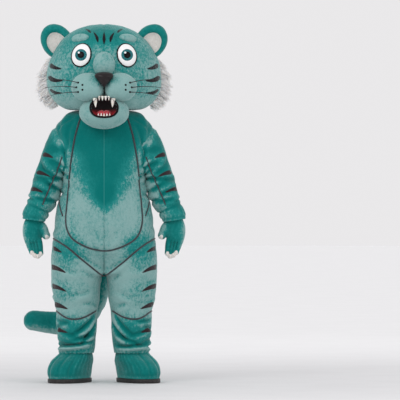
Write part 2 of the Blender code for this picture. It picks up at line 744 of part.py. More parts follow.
def ellipsoid(name, frame, sizes, segments=12, rings=8):
    bm = bmesh.new()
    bmesh.ops.create_uvsphere(bm, u_segments=segments, v_segments=rings, radius=1)
    bmesh.ops.transform(bm, matrix=frame @ Matrix.Diagonal((*sizes, 1)), verts=bm.verts)
    mesh = bpy.data.meshes.new(name)
    bm.to_mesh(mesh)
    bm.free()
    return mesh


def ball_mesh(name, ball, grow=0.0, segments=12, rings=6):
    frame = Matrix.Translation((ball.x, ball.y, up(ball.height)))
    sizes = [size + grow for size in (ball.half_width, ball.half_depth, ball.half_height)]
    return ellipsoid(name, frame, sizes, segments, rings)


def pad_mesh(name, pad, side=1, grow=0.0, segments=12, rings=8):
    frame = head_frame(pad.x, pad.height, pad.rise, side)
    frame = frame @ Matrix.Rotation(math.radians(-side * pad.roll), 4, "Y")
    sizes = [size + grow for size in (pad.half_width, pad.half_depth, pad.half_height)]
    return ellipsoid(name, frame, sizes, segments, rings)


def nose_mesh(name, grow=0.0):
    """A rounded triangle, wide at the top."""
    mesh = pad_mesh(name, NOSE, 1, grow, 14, 8)
    top = up(NOSE.height) + NOSE.half_height
    for vert in mesh.vertices:
        down = (top - vert.co.z) / (2 * NOSE.half_height)
        vert.co.x *= 1 - NOSE_TAPER * eased(down)
    return mesh


def box_guide(name, low, high):
    outline = [(low[0], low[2]), (high[0], low[2]), (high[0], high[2]), (low[0], high[2])]
    return prism(name, outline, low[1], high[1])


def ear(side, letter, head):
    lean = Matrix.Rotation(side * EAR_LEAN, 4, "Y")
    centre = Vector((EAR_CENTRE.x * side, EAR_CENTRE.y, up(EAR_CENTRE.z)))
    frame = Matrix.Translation(centre) @ lean
    front = frame @ Matrix.Translation((0, -EAR_SIZE[1], 0.006))
    made = add(f"ear_{letter}", ellipsoid(f"ear_{letter}", frame, EAR_SIZE, 14, 10), "teal_plush")
    pocket = ellipsoid(f"ear_pocket_{letter}", front, EAR_POCKET_SIZE)
    carve(made, "DIFFERENCE", guide(f"ear_pocket_{letter}", pocket), head)
    smaller = [size - SEAM for size in EAR_POCKET_SIZE]
    pad = add(f"ear_inner_{letter}", ellipsoid(f"ear_inner_{letter}", front, smaller), "white_plush")
    open_front = centre.y - EAR_SIZE[1] + EAR_PAD_FRONT
    space = box_guide(f"ear_front_{letter}", (-FAR, -FAR, 1.2), (FAR, open_front, 2.0))
    carve(pad, "DIFFERENCE", space, head)


def fang_mesh(name, side, grow=0.0):
    rings = []
    for row in FANG[:-1]:
        ring = []
        for j in range(FANG_SIDES):
            angle = 2 * math.pi * j / FANG_SIDES
            x = row.x + (row.half_width + grow) * math.cos(angle)
            ring.append((side * x, row.y + (row.half_depth + grow) * math.sin(angle), row.height))
        rings.append(ring)
    root, tip = ((side * row.x, row.y, row.height) for row in (FANG[0], FANG[-1]))
    return loft(name, rings, root, tip)


def fang(side, letter, muzzle):
    made = add(f"fang_{letter}", fang_mesh(f"fang_{letter}", side), "white_gloss")
    carve(made, "DIFFERENCE", muzzle)


def teeth(name, row):
    """A bowed strip whose edge runs in and out as a row of blunt points."""
    count = 2 * row.count
    points, faces = [], []
    for i in range(count + 1):
        x = row.half_width * (2 * i / count - 1)
        y = row.y + TEETH_BOW * x * x / row.half_width
        edge = row.gum + (row.points - row.gum) * (1 if i % 2 else TOOTH_GAP)
        points += [(x, y, row.gum), (x, y, edge), (x, y + TOOTH_DEPTH, edge), (x, y + TOOTH_DEPTH, row.gum)]
    for i in range(count):
        for j in range(4):
            k = (j + 1) % 4
            faces.append((4 * i + j, 4 * i + k, 4 * i + 4 + k, 4 * i + 4 + j))
    faces += [(0, 1, 2, 3), (4 * count, 4 * count + 1, 4 * count + 2, 4 * count + 3)]
    return add(name, mesh_from(name, points, faces), "white_gloss")


def cheek_fur(side, letter, head):
    """Locks of long fur, rooted in a narrow strip on the side of the head."""
    half_turn = FUR_STRIP_WIDTH / 2 / HEAD[5].half_width
    rings = []
    for height in FUR_STRIP_HEIGHTS:
        ring = []
        for turn, lift in ((-1, -0.004), (1, -0.004), (1, FUR_STRIP_DEPTH), (-1, FUR_STRIP_DEPTH)):
            point = head_point(height, FUR_ANGLE + turn * half_turn, lift)
            ring.append((side * point.x, point.y, point.z))
        rings.append(ring)

    def middle(ring):
        return tuple(sum(point[i] for point in ring) / 4 for i in range(3))

    strip = loft(f"cheek_fur_{letter}", rings, middle(rings[0]), middle(rings[-1]))
    made = add(f"cheek_fur_{letter}", strip, "white_fur")
    points, faces = [], []
    for lock in FUR_LOCKS:
        root = head_point(lock.height, FUR_ANGLE, -0.001)
        out = Vector((root.x, root.y * 0.5, 0)).normalized()
        along = (out + Vector((0, lock.backward, lock.rise))).normalized()
        across = along.cross(Vector((0, 0, 1))).normalized() * FUR_ROOT_WIDTH
        other = along.cross(across).normalized() * FUR_ROOT_DEPTH
        first = len(points)
        points += [root + across, root + other, root - across, root - other, root + along * lock.length]
        faces.append((first, first + 1, first + 2, first + 3))
        faces += [(first + j, first + (j + 1) % 4, first + 4) for j in range(4)]
    points = [(side * x, y, z) for x, y, z in points]
    locks = guide(f"cheek_locks_{letter}", mesh_from(f"cheek_locks_{letter}", points, faces))
    carve(made, "UNION", locks)
    carve(made, "DIFFERENCE", head)


def whiskers(side, letter, muzzle):
    """Three stiff whiskers that leave one small pad on the muzzle."""
    centre = Vector((side * WHISKER_ROOT.x, WHISKER_ROOT.y, up(WHISKER_ROOT.z)))
    pad = ellipsoid(f"whiskers_{letter}", Matrix.Translation(centre), (0.010, 0.014, 0.024), 8, 6)
    made = add(f"whiskers_{letter}", pad, "whisker")
    points, faces = [], []
    for hair in WHISKERS:
        root = WHISKER_ROOT + Vector((0.004, 0, hair.rise))
        first = len(points)
        for share, size in ((0.0, 1.0), (1.0, 0.5)):
            place = root + Vector((1, 0.25 * share, hair.slope * (1 + 0.3 * share))) * hair.length * share
            for turn in range(3):
                angle = 2 * math.pi * turn / 3
                y, z = math.cos(angle) * WHISKER_RADIUS * size, math.sin(angle) * WHISKER_RADIUS * size
                points.append((side * place.x, place.y + y, place.z + z))
        faces += [(first, first + 1, first + 2), (first + 3, first + 4, first + 5)]
        faces += [(first + j, first + (j + 1) % 3, first + 3 + (j + 1) % 3, first + 3 + j) for j in range(3)]
    hairs = guide(f"whisker_hairs_{letter}", mesh_from(f"whisker_hairs_{letter}", points, faces))
    carve(made, "UNION", hairs)
    carve(made, "DIFFERENCE", muzzle)


def mouth(head, muzzles):
    """The jaw with its cavity, the lining in it, the tongue on the lining and two rows of teeth."""
    jaw = add("jaw", ball_mesh("jaw", JAW, 0.0, 16, 8), "pale_teal_plush")
    cavity = guide("mouth_cavity", ball_mesh("mouth_cavity", MOUTH))
    chest = box_guide("chest_space", (-FAR, JAW_BACK, 1.2), (FAR, FAR, 1.6))
    carve(jaw, "DIFFERENCE", cavity, chest, head, *muzzles)
    lining = add("mouth_lining", ball_mesh("mouth_lining", MOUTH, -SEAM), "mouth_red")
    hollow = guide("mouth_hollow", ball_mesh("mouth_hollow", MOUTH, -SEAM - CLOTH))
    front = box_guide("mouth_front", (-FAR, -FAR, 1.2), (FAR, MOUTH_FRONT, 1.6))
    fangs = [guide(f"fang_space_{side}", fang_mesh(f"fang_space_{side}", side, SEAM)) for side in (1, -1)]
    carve(lining, "DIFFERENCE", hollow, front, head, *muzzles, *fangs)
    tongue = add("tongue", ball_mesh("tongue", TONGUE, 0.0, 10, 6), "tongue_pink")
    inside = guide("mouth_inside", ball_mesh("mouth_inside", MOUTH, -2 * SEAM - CLOTH))
    carve(tongue, "INTERSECT", inside)
    upper, lower = teeth("teeth_upper", UPPER_TEETH), teeth("teeth_lower", LOWER_TEETH)
    carve(upper, "INTERSECT", inside)
    carve(upper, "DIFFERENCE", *muzzles)
    carve(lower, "INTERSECT", inside)


def head():
    body = head_mesh("head")
    space = guide("head_space", head_mesh("head_space", SEAM, closed=True))
    half = [(SEAM / 2, 1.2), (FAR, 1.2), (FAR, 2.0), (SEAM / 2, 2.0)]
    patterns = []
    for side, letter in ((1, "L"), (-1, "R")):
        outline = flipped(half, side)
        patterns.append((f"head_face_{letter}", outline, -FAR, HEAD_SPLIT - SEAM / 2))
        patterns.append((f"head_back_{letter}", outline, HEAD_SPLIT + SEAM / 2, FAR))
    for name, outline, front, back in patterns:
        made = add(name, body, "teal_plush")
        thicken(made, FOAM)
        carve(made, "INTERSECT", prism(f"{name}_pattern", outline, front, back))

    muzzles, eyes = [], []
    for side, letter in ((1, "L"), (-1, "R")):
        muzzles.append(guide(f"muzzle_space_{letter}", pad_mesh("muzzle_space", MUZZLE, side, SEAM)))
        eyes.append(guide(f"eye_space_{letter}", pad_mesh("eye_space", EYE, side, SEAM)))
    bridge_space = guide("nose_bridge_space", pad_mesh("nose_bridge_space", NOSE_BRIDGE, 1, SEAM))
    for side, letter in ((1, "L"), (-1, "R")):
        low, high = sorted((side * SEAM / 2, side * FAR))
        half_space = box_guide(f"muzzle_half_{letter}", (low, -FAR, 1.2), (high, FAR, 2.0))
        lobe = add(f"muzzle_{letter}", pad_mesh("muzzle", MUZZLE, side), "pale_teal_plush")
        carve(lobe, "INTERSECT", half_space)
        carve(lobe, "DIFFERENCE", space)
        eye = add(f"eye_{letter}", pad_mesh("eye", EYE, side), "white_gloss")
        carve(eye, "DIFFERENCE", space, bridge_space)
        brow = add(f"brow_{letter}", pad_mesh("brow", BROW, side, 0, 12, 6), "pale_teal_plush")
        carve(brow, "DIFFERENCE", space, eyes[0 if side > 0 else 1])
        ear(side, letter, space)
        cheek_fur(side, letter, space)
        whiskers(side, letter, muzzles[0 if side > 0 else 1])
        fang(side, letter, muzzles[0 if side > 0 else 1])
    bridge = add("nose_bridge", pad_mesh("nose_bridge", NOSE_BRIDGE), "teal_plush")
    carve(bridge, "DIFFERENCE", space, *muzzles)
    nose = add("nose", nose_mesh("nose"), "black_gloss")
    carve(nose, "DIFFERENCE", bridge_space, *muzzles)
    mouth(space, muzzles)


# Mitts and boots


def hand_matrix(side):
    """From the hand's frame (across, thickness, along) to the world."""
    place = Matrix.Translation((WRIST.x, WRIST.y, up(WRIST.z))) @ Matrix.Rotation(HAND_LEAN, 4, "Y")
    flip = Matrix.Diagonal((side, 1, 1, 1))
    return flip @ place @ Matrix.Diagonal((1, 1, -1, 1))


def palm_mesh(name, rows, sides=10):
    rings = []
    for row in rows:
        angles = [2 * math.pi * j / sides for j in range(sides)]
        ring = [
            (row.middle + row.half_width * power(math.cos(a), 0.85), row.half_depth * math.sin(a))
            for a in angles
        ]
        rings.append([(x, y, row.along + SHOULDER_HEIGHT) for x, y in ring])
    ends = [(row.middle, 0, row.along + SHOULDER_HEIGHT) for row in (rows[0], rows[-1])]
    return loft(name, rings, *ends)


def finger_mesh(name, finger, sides=6):
    row = namedtuple("Row", "x y height radius")
    start = Vector((finger.across, 0, finger.along + SHOULDER_HEIGHT))
    end = Vector((finger.tip_across, FINGER_BOW, finger.tip_along + SHOULDER_HEIGHT))
    rows = []
    for share, size in FINGER_SHAPE:
        place = start.lerp(end, share)
        rows.append(row(*place, finger.radius * size))
    rings, _ = tube_rings(rows, sides)
    return loft(name, rings, tuple(start), tuple(end))


def mitt(side, letter):
    """A hollow paw: a plush back, and a pale palm that wraps over the finger ends."""
    place = hand_matrix(side)

    def placed(mesh):
        mesh.transform(place)
        if place.determinant() < 0:
            mesh.flip_normals()
        return mesh

    fingers = [
        guide(f"finger_{i}_{letter}", placed(finger_mesh(f"finger_{i}", finger)))
        for i, finger in enumerate(FINGERS)
    ]
    hollow = guide(f"hand_hollow_{letter}", placed(palm_mesh("hand_hollow", HAND_HOLLOW, 8)))
    palm = placed(palm_mesh(f"palm_{letter}", PALM))
    outline = [(-0.09, -0.07), (0.09, -0.07)]
    for finger in reversed(FINGERS[:4]):
        edge = finger.tip_along - CLAW_LENGTH
        outline += [(finger.tip_across + CLAW_HALF_WIDTH, edge), (finger.tip_across - CLAW_HALF_WIDTH, edge)]
    outline += THUMB_EDGE
    corners = [place @ Vector((x, 0, z)) for x, z in outline]
    outline = [(corner.x, corner.z + SHOULDER_HEIGHT) for corner in corners]
    split = WRIST.y + PALM_EDGE
    for name, look, grow in (("mitt_back", "teal_plush", 0), ("mitt_palm", "white_plush", SEAM)):
        made = add(f"{name}_{letter}", palm, look)
        carve(made, "UNION", *fingers)
        carve(made, "DIFFERENCE", hollow)
        pattern = prism(f"{name}_{letter}_pattern", inset(outline, -grow), -FAR, split + grow)
        carve(made, "DIFFERENCE" if grow else "INTERSECT", pattern)


def boot_ring(row, side, grow=0.0):
    ring = []
    for j in range(BOOT_SIDES):
        angle = 2 * math.pi * j / BOOT_SIDES
        column = j if j <= BOOT_SIDES / 2 else j - BOOT_SIDES
        depth = row.toe if math.cos(angle) > 0 else row.heel
        groove = TOE_GROOVE_DEPTH * (depth - row.half_width) / depth if column in TOE_GROOVES else 0.0
        x = side * row.out + (row.half_width + grow) * power(math.sin(angle), BOOT_SQUARENESS)
        y = -(depth + grow - max(groove, 0.0)) * power(math.cos(angle), BOOT_SQUARENESS)
        ring.append((x, y, row.height))
    return ring


def boot(side, letter):
    place = Matrix.Translation((BOOT_CENTRE.x * side, BOOT_CENTRE.y, 0))
    place = place @ Matrix.Rotation(side * BOOT_SPLAY, 4, "Z")
    upper = loft(f"boot_upper_{letter}", [boot_ring(row, side) for row in BOOT])
    upper.transform(place)
    thicken(add(f"boot_upper_{letter}", upper, "teal_plush"), PADDING)
    base = boot_ring(BOOT[0], side, SOLE_LIP)
    rings = [[(x, y, height) for x, y, _ in base] for height in (0.0, SOLE_THICKNESS)]
    sole = loft(f"boot_sole_{letter}", rings, (0, 0, 0), (0, 0, SOLE_THICKNESS))
    sole.transform(place)
    add(f"boot_sole_{letter}", sole, "sole_rubber")


def main():
    for old in list(bpy.data.objects):
        bpy.data.objects.remove(old)
    body_suit()
    head()
    for side, letter in ((1, "L"), (-1, "R")):
        mitt(side, letter)
        boot(side, letter)


main()
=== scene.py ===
"""The looks of the tiger mascot costume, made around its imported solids.

Units are metres in the solids' own frame. The costume faces -Y, its own left is +X and +Z is up. The origin
is at shoulder height; tables give heights above the ground. Every cloth panel is a thin shell on the suit's
own form, and every solid node is stood for by a finer piece.
"""

import math
from collections import namedtuple

import bmesh
import bpy
import numpy as np
from mathutils import Matrix, Vector, noise
from mathutils.bvhtree import BVHTree


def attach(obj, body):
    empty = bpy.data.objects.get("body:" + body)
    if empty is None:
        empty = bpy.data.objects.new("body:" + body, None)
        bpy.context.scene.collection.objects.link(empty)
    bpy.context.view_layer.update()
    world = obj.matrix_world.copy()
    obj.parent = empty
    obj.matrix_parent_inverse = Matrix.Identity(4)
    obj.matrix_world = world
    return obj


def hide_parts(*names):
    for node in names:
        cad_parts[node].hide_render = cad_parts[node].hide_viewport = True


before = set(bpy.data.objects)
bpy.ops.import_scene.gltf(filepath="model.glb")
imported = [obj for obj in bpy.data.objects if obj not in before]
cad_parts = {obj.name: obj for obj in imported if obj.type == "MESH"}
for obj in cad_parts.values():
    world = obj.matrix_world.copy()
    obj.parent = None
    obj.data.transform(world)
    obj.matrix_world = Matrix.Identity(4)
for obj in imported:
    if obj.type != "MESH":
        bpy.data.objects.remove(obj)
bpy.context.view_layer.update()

# Sizes that the solids use too
SHOULDER_HEIGHT = 1.34
CLOTH = 0.003
FOAM = 0.010
CROTCH = 0.569
HIP = 0.72
TRUNK_SQUARENESS = 0.88
LEG_CORNER = math.radians(50)
LEG_JOIN = 0.17
GUSSET = 0.024  # height over which the crotch opens into the two legs

SIDES = ((1, "L"), (-1, "R"))
COLLAR = 1.375  # above it the suit has no folds and no centre seam
LEG_TOP = 0.62  # below it the folds are deeper
FAR = 0.6  # beyond the silhouette, where a seam that runs off it starts

Trunk = namedtuple("Trunk", "height half_width front back")
TRUNK = [Trunk(*row) for row in (
    (0.569, 0.274, 0.155, 0.165), (0.620, 0.273, 0.170, 0.178), (0.700, 0.267, 0.188, 0.186),
    (0.800, 0.257, 0.200, 0.174), (0.900, 0.243, 0.198, 0.158), (1.000, 0.212, 0.190, 0.152),
    (1.100, 0.206, 0.180, 0.158), (1.200, 0.222, 0.170, 0.166), (1.280, 0.240, 0.158, 0.164),
    (1.335, 0.234, 0.144, 0.154), (1.372, 0.198, 0.128, 0.138), (1.392, 0.150, 0.110, 0.118),
    (1.400, 0.115, 0.094, 0.100),
)]  # fmt: skip
Leg = namedtuple("Leg", "height centre half_width front back")
LEG = [Leg(*row) for row in (
    (0.152, 0.1425, 0.088, 0.100, 0.104), (0.182, 0.1420, 0.094, 0.106, 0.110),
    (0.258, 0.1410, 0.101, 0.114, 0.118), (0.320, 0.1410, 0.105, 0.120, 0.124),
    (0.378, 0.1405, 0.1065, 0.124, 0.130), (0.424, 0.1420, 0.118, 0.132, 0.138),
    (0.500, 0.1455, 0.1255, 0.142, 0.150), (0.569, 0.1430, 0.131, 0.150, 0.160),
    (0.720, 0.1430, 0.131, 0.165, 0.170),
)]  # fmt: skip

# Seams of the left half as (distance from the centre line, height)
BELLY_SEAM = [
    (0.085, 1.460), (0.129, 1.337), (0.153, 1.245), (0.172, 1.120), (0.184, 1.000), (0.192, 0.910),
    (0.197, 0.850), (0.190, 0.790), (0.165, 0.745), (0.128, 0.718), (0.070, 0.692), (0.0, 0.680),
]  # fmt: skip
HIP_SEAM = [(FAR, 0.860), (0.262, 0.742), (0.196, 0.703), (0.119, 0.640), (0.050, 0.583), (0.0, 0.545)]
KNEE_SEAM = [(FAR, 0.380), (0.245, 0.367), (0.179, 0.330), (0.110, 0.335), (0.040, 0.369), (0.0, 0.385)]
YOKE_SEAM = [(FAR, 1.240), (0.300, 1.246), (0.217, 1.257), (0.165, 1.278), (0.0, 1.284)]
BACK_SEAM = [(0.128, 1.279), (0.1375, 1.173), (0.147, 1.091), (0.166, 0.990), (0.186, 0.906)]
JACKET_HEM = [
    (0.0, 0.861), (0.070, 0.865), (0.1375, 0.879), (0.186, 0.906),
    (0.204, 0.935), (0.217, 0.982), (0.300, 1.010), (FAR, 1.020),
]  # fmt: skip
SEAT_SEAM = [(0.186, 0.906), (0.198, 0.810), (0.200, 0.722), (0.171, 0.653), (0.085, 0.587), (0.0, 0.545)]
HIP_BACK_SEAM = [(FAR, 0.860), (0.262, 0.742), (0.200, 0.722)]
JACKET_FRONT_SEAM = [(0.238, 0.985), (0.232, 0.940), (0.228, 0.905), (0.2135, 0.858)]
SLEEVE_SEAM = [(0.214, 1.165), (0.234, 1.110), (0.256, 1.055), (0.292, 0.975), (0.316, 0.915)]

SLEEVE = [  # x, y, height, radius and depth
    (0.150, 0.000, 1.190, 0.138, 0.094), (0.198, 0.000, 1.178, 0.138, 0.094),
    (0.236, 0.000, 1.150, 0.100, 0.090), (0.274, -0.001, 1.098, 0.071, 0.084),
    (0.290, -0.003, 1.040, 0.075, 0.082), (0.308, -0.009, 0.974, 0.074, 0.079),
    (0.324, -0.014, 0.933, 0.070, 0.076), (0.344, -0.018, 0.892, 0.064, 0.067),
    (0.353, -0.020, 0.868, 0.067, 0.069), (0.359, -0.021, 0.851, 0.065, 0.066),
    (0.363, -0.022, 0.836, 0.058, 0.059),
]  # fmt: skip
SLEEVE_SPLIT = -0.008  # Y between a sleeve's front half and its back half

TAIL = [  # x, y, height and radius
    (-0.004, 0.130, 0.806, 0.046), (-0.008, 0.212, 0.790, 0.052), (-0.014, 0.262, 0.712, 0.057),
    (-0.018, 0.285, 0.615, 0.062), (-0.028, 0.298, 0.515, 0.067), (-0.058, 0.310, 0.415, 0.069),
    (-0.118, 0.322, 0.325, 0.067), (-0.205, 0.330, 0.296, 0.061), (-0.300, 0.325, 0.299, 0.057),
    (-0.370, 0.312, 0.308, 0.052),
]  # fmt: skip

HEAD = [  # height, half width, front and back
    (1.405, 0.150, 0.135, 0.140), (1.412, 0.198, 0.178, 0.188), (1.436, 0.240, 0.212, 0.217),
    (1.470, 0.270, 0.235, 0.238), (1.520, 0.291, 0.250, 0.250), (1.580, 0.295, 0.255, 0.252),
    (1.640, 0.285, 0.252, 0.248), (1.700, 0.262, 0.240, 0.235), (1.760, 0.222, 0.210, 0.210),
    (1.805, 0.172, 0.165, 0.165), (1.835, 0.105, 0.100, 0.100), (1.846, 0.045, 0.043, 0.043),
    (1.848, 0.001, 0.001, 0.001),
]  # fmt: skip
HEAD_SPLIT = 0.030  # Y between the halves of the face and those of the back

Pad = namedtuple("Pad", "x height rise half_width half_depth half_height roll")
MUZZLE = Pad(0.078, 1.520, 0.016, 0.086, 0.082, 0.072, 0)
NOSE_BRIDGE = Pad(0.0, 1.632, 0.002, 0.056, 0.044, 0.066, 0)
NOSE = Pad(0.0, 1.562, 0.078, 0.064, 0.038, 0.034, 0)
EYE = Pad(0.118, 1.682, -0.010, 0.054, 0.028, 0.062, 0)
BROW = Pad(0.124, 1.772, -0.004, 0.048, 0.020, 0.022, -6)

Ball = namedtuple("Ball", "x y height half_width half_depth half_height")
JAW = Ball(0.0, -0.230, 1.388, 0.128, 0.104, 0.084)
MOUTH = Ball(0.0, -0.328, 1.414, 0.070, 0.087, 0.050)
TONGUE = Ball(0.0, -0.284, 1.382, 0.038, 0.034, 0.018)

EAR_CENTRE = Vector((0.240, 0.004, 1.756))
EAR_LEAN = math.radians(36)

FANG = [  # x, y, height, half width and half depth
    (0.0460, -0.288, 1.492, 0.0115, 0.0100), (0.0460, -0.298, 1.470, 0.0125, 0.0105),
    (0.0455, -0.306, 1.450, 0.0110, 0.0090), (0.0440, -0.311, 1.431, 0.0072, 0.0060),
    (0.0425, -0.313, 1.412, 0.0008, 0.0008),
]  # fmt: skip

PALM = [  # along, middle, half width and half depth
    (-0.040, 0.000, 0.034, 0.032), (0.000, 0.000, 0.039, 0.035), (0.016, 0.002, 0.046, 0.038),
    (0.045, 0.008, 0.051, 0.040), (0.085, 0.015, 0.047, 0.037), (0.128, 0.015, 0.040, 0.027),
]  # fmt: skip
Finger = namedtuple("Finger", "across along tip_across tip_along radius")
FINGERS = [Finger(*row) for row in (
    (-0.012, 0.090, -0.020, 0.202, 0.0185), (0.004, 0.095, -0.005, 0.214, 0.0185),
    (0.021, 0.095, 0.009, 0.208, 0.0180), (0.039, 0.095, 0.022, 0.192, 0.0175),
    (-0.026, 0.028, -0.066, 0.118, 0.0260),
)]  # fmt: skip
WRIST = Vector((0.366, -0.022, 0.850))
HAND_LEAN = math.radians(6)

Boot = namedtuple("Boot", "height out half_width toe heel")
BOOT = [Boot(*row) for row in (
    (0.023, 0.023, 0.095, 0.196, 0.104), (0.050, 0.024, 0.099, 0.205, 0.110),
    (0.082, 0.021, 0.101, 0.192, 0.110), (0.112, 0.013, 0.100, 0.158, 0.106),
    (0.132, 0.006, 0.092, 0.124, 0.100), (0.150, 0.000, 0.083, 0.096, 0.090),
    (0.186, -0.002, 0.066, 0.070, 0.070),
)]  # fmt: skip
BOOT_CENTRE = Vector((0.146, 0.002, 0.0))
BOOT_SPLAY = math.radians(20)
BOOT_SQUARENESS = 0.86
SOLE_THICKNESS = 0.0227
SOLE_LIP = 0.004

# Fineness of the surfaces
CELL = 0.006
SUIT_COLUMNS = 112
INNER_LEG_COLUMNS = 32
LEG_ROWS = 70
SLEEVE_COLUMNS = 76
TAIL_COLUMNS = 60
HEAD_COLUMNS = 264
HEAD_CELL = 0.0055
BOOT_COLUMNS = 150
PIPING_SIDES = 8
LOOP_SIDES = 10
SHARP_ANGLE = math.radians(60)

# Piping and seams
PIPING_RADIUS = 0.0046
PIPING_PASSES = 8  # of smoothing along it
SLEEVE_PIPING_RADIUS = 0.0034
SLEEVE_PIPING_PASSES = 2
PIPING_FLATNESS = 0.8
PIPING_LIFT = 0.42  # of its radius, from the cloth to its middle
SEAM_SPACING = 0.006
SEAM_DEPTH = 0.0035
SEAM_WIDTH = 0.007
SEAM_PUFF = 0.0022
SEAM_PUFF_WIDTH = 0.020
SEAM_PUFF_OFFSET = 0.022
SILHOUETTE = 0.22  # a seam that starts farther out than this starts on the silhouette
EDGE_GAP = 0.004  # a seam that ends farther than this from the silhouette is led on to it
UNMARKED = 0.05  # the distance given where no stripe or seam is near

# Creases of the cloth. height and turn place the middle, on the left half of the suit or on the left
# sleeve; turn is a share of the way from the front centre to the back centre. tilt is in degrees, and a
# positive one rises away from the front centre. A negative depth is a trough with its swell below it.
Crease = namedtuple("Crease", "height turn half_length half_width depth tilt bow")
SUIT_CREASES = [Crease(*row) for row in (
    # neck, shoulder and armhole
    (1.330, 0.30, 0.050, 0.010, -0.0040, -35, 0.0), (1.270, 0.27, 0.070, 0.012, -0.0050, -62, 0.0),
    (1.215, 0.33, 0.060, 0.011, -0.0045, -50, 1.5), (1.120, 0.36, 0.070, 0.013, -0.0060, 28, 1.0),
    (1.070, 0.40, 0.060, 0.012, -0.0055, 18, -1.0), (1.020, 0.38, 0.055, 0.011, -0.0040, 8, 1.2),
    (0.965, 0.42, 0.060, 0.013, -0.0045, -8, 0.0), (1.245, 0.66, 0.070, 0.012, -0.0050, 55, 0.0),
    (1.140, 0.60, 0.065, 0.012, -0.0050, -25, 1.0), (1.060, 0.62, 0.070, 0.012, -0.0050, -15, -1.0),
    (1.000, 0.66, 0.060, 0.010, -0.0040, -30, 0.0), (0.945, 0.60, 0.050, 0.010, -0.0040, 5, 0.0),
    # belly
    (0.745, 0.05, 0.045, 0.010, -0.0030, 70, 0.0), (0.712, 0.02, 0.035, 0.008, -0.0026, 82, 0.0),
    (0.735, 0.15, 0.040, 0.010, -0.0028, 40, 0.0), (0.860, 0.24, 0.060, 0.014, -0.0030, 80, 0.0),
    # hip and groin
    (0.690, 0.30, 0.070, 0.013, -0.0050, 30, 1.0), (0.640, 0.12, 0.070, 0.012, -0.0050, 48, 0.0),
    (0.605, 0.08, 0.055, 0.010, -0.0055, 40, 0.0), (0.585, 0.26, 0.060, 0.012, -0.0040, 14, 1.5),
    (0.545, 0.05, 0.050, 0.010, -0.0050, 25, 0.0), (0.800, 0.46, 0.060, 0.013, -0.0040, 10, 1.0),
    # front of the thigh and knee
    (0.520, 0.36, 0.050, 0.012, -0.0035, 20, 0.0), (0.452, 0.10, 0.055, 0.012, -0.0035, -20, 0.0),
    (0.420, 0.40, 0.050, 0.011, -0.0040, 12, 1.0), (0.395, 0.06, 0.050, 0.010, -0.0040, 15, 0.0),
    # shin
    (0.318, 0.34, 0.065, 0.010, -0.0085, 4, 1.0), (0.300, 0.07, 0.085, 0.012, -0.0100, -44, 0.5),
    (0.286, 0.40, 0.055, 0.009, -0.0080, -10, -1.5), (0.262, 0.02, 0.070, 0.011, -0.0085, -38, 0.0),
    (0.256, 0.27, 0.060, 0.010, -0.0070, 18, 1.5), (0.226, 0.12, 0.075, 0.010, -0.0075, -22, 0.0),
    (0.216, 0.42, 0.060, 0.009, -0.0070, 8, 0.0), (0.190, 0.20, 0.110, 0.008, -0.0120, 3, 0.4),
    (0.182, 0.52, 0.080, 0.007, -0.0080, -6, -0.5),
    # under the seat and down the back of the leg
    (0.575, 0.84, 0.075, 0.010, -0.0110, 4, -1.0), (0.560, 0.62, 0.065, 0.011, -0.0080, -32, 0.5),
    (0.540, 0.92, 0.060, 0.009, -0.0090, 12, 1.0), (0.522, 0.72, 0.085, 0.010, -0.0100, -26, -0.5),
    (0.500, 0.94, 0.055, 0.009, -0.0080, 20, 0.0), (0.478, 0.78, 0.080, 0.011, -0.0100, -10, 0.8),
    (0.462, 0.58, 0.050, 0.010, -0.0060, 16, 0.0), (0.446, 0.92, 0.065, 0.010, -0.0080, 24, -1.0),
    (0.420, 0.72, 0.060, 0.010, -0.0060, -14, 0.0), (0.398, 0.88, 0.055, 0.011, -0.0065, 20, 1.0),
    (0.360, 0.66, 0.050, 0.010, -0.0045, -20, 0.0), (0.330, 0.86, 0.060, 0.011, -0.0050, 35, 0.0),
    (0.290, 0.72, 0.055, 0.010, -0.0055, -35, 0.5), (0.262, 0.92, 0.060, 0.010, -0.0070, 40, 0.0),
    (0.240, 0.74, 0.075, 0.010, -0.0085, 6, 1.0), (0.222, 0.92, 0.065, 0.009, -0.0085, -16, -0.5),
    (0.204, 0.70, 0.080, 0.008, -0.0090, 5, -1.0), (0.186, 0.88, 0.085, 0.007, -0.0100, 0, 0.5),
)]  # fmt: skip
CREASE_SHIFT = 0.011  # how far up or down the right half's creases lie from a mirror image of the left's

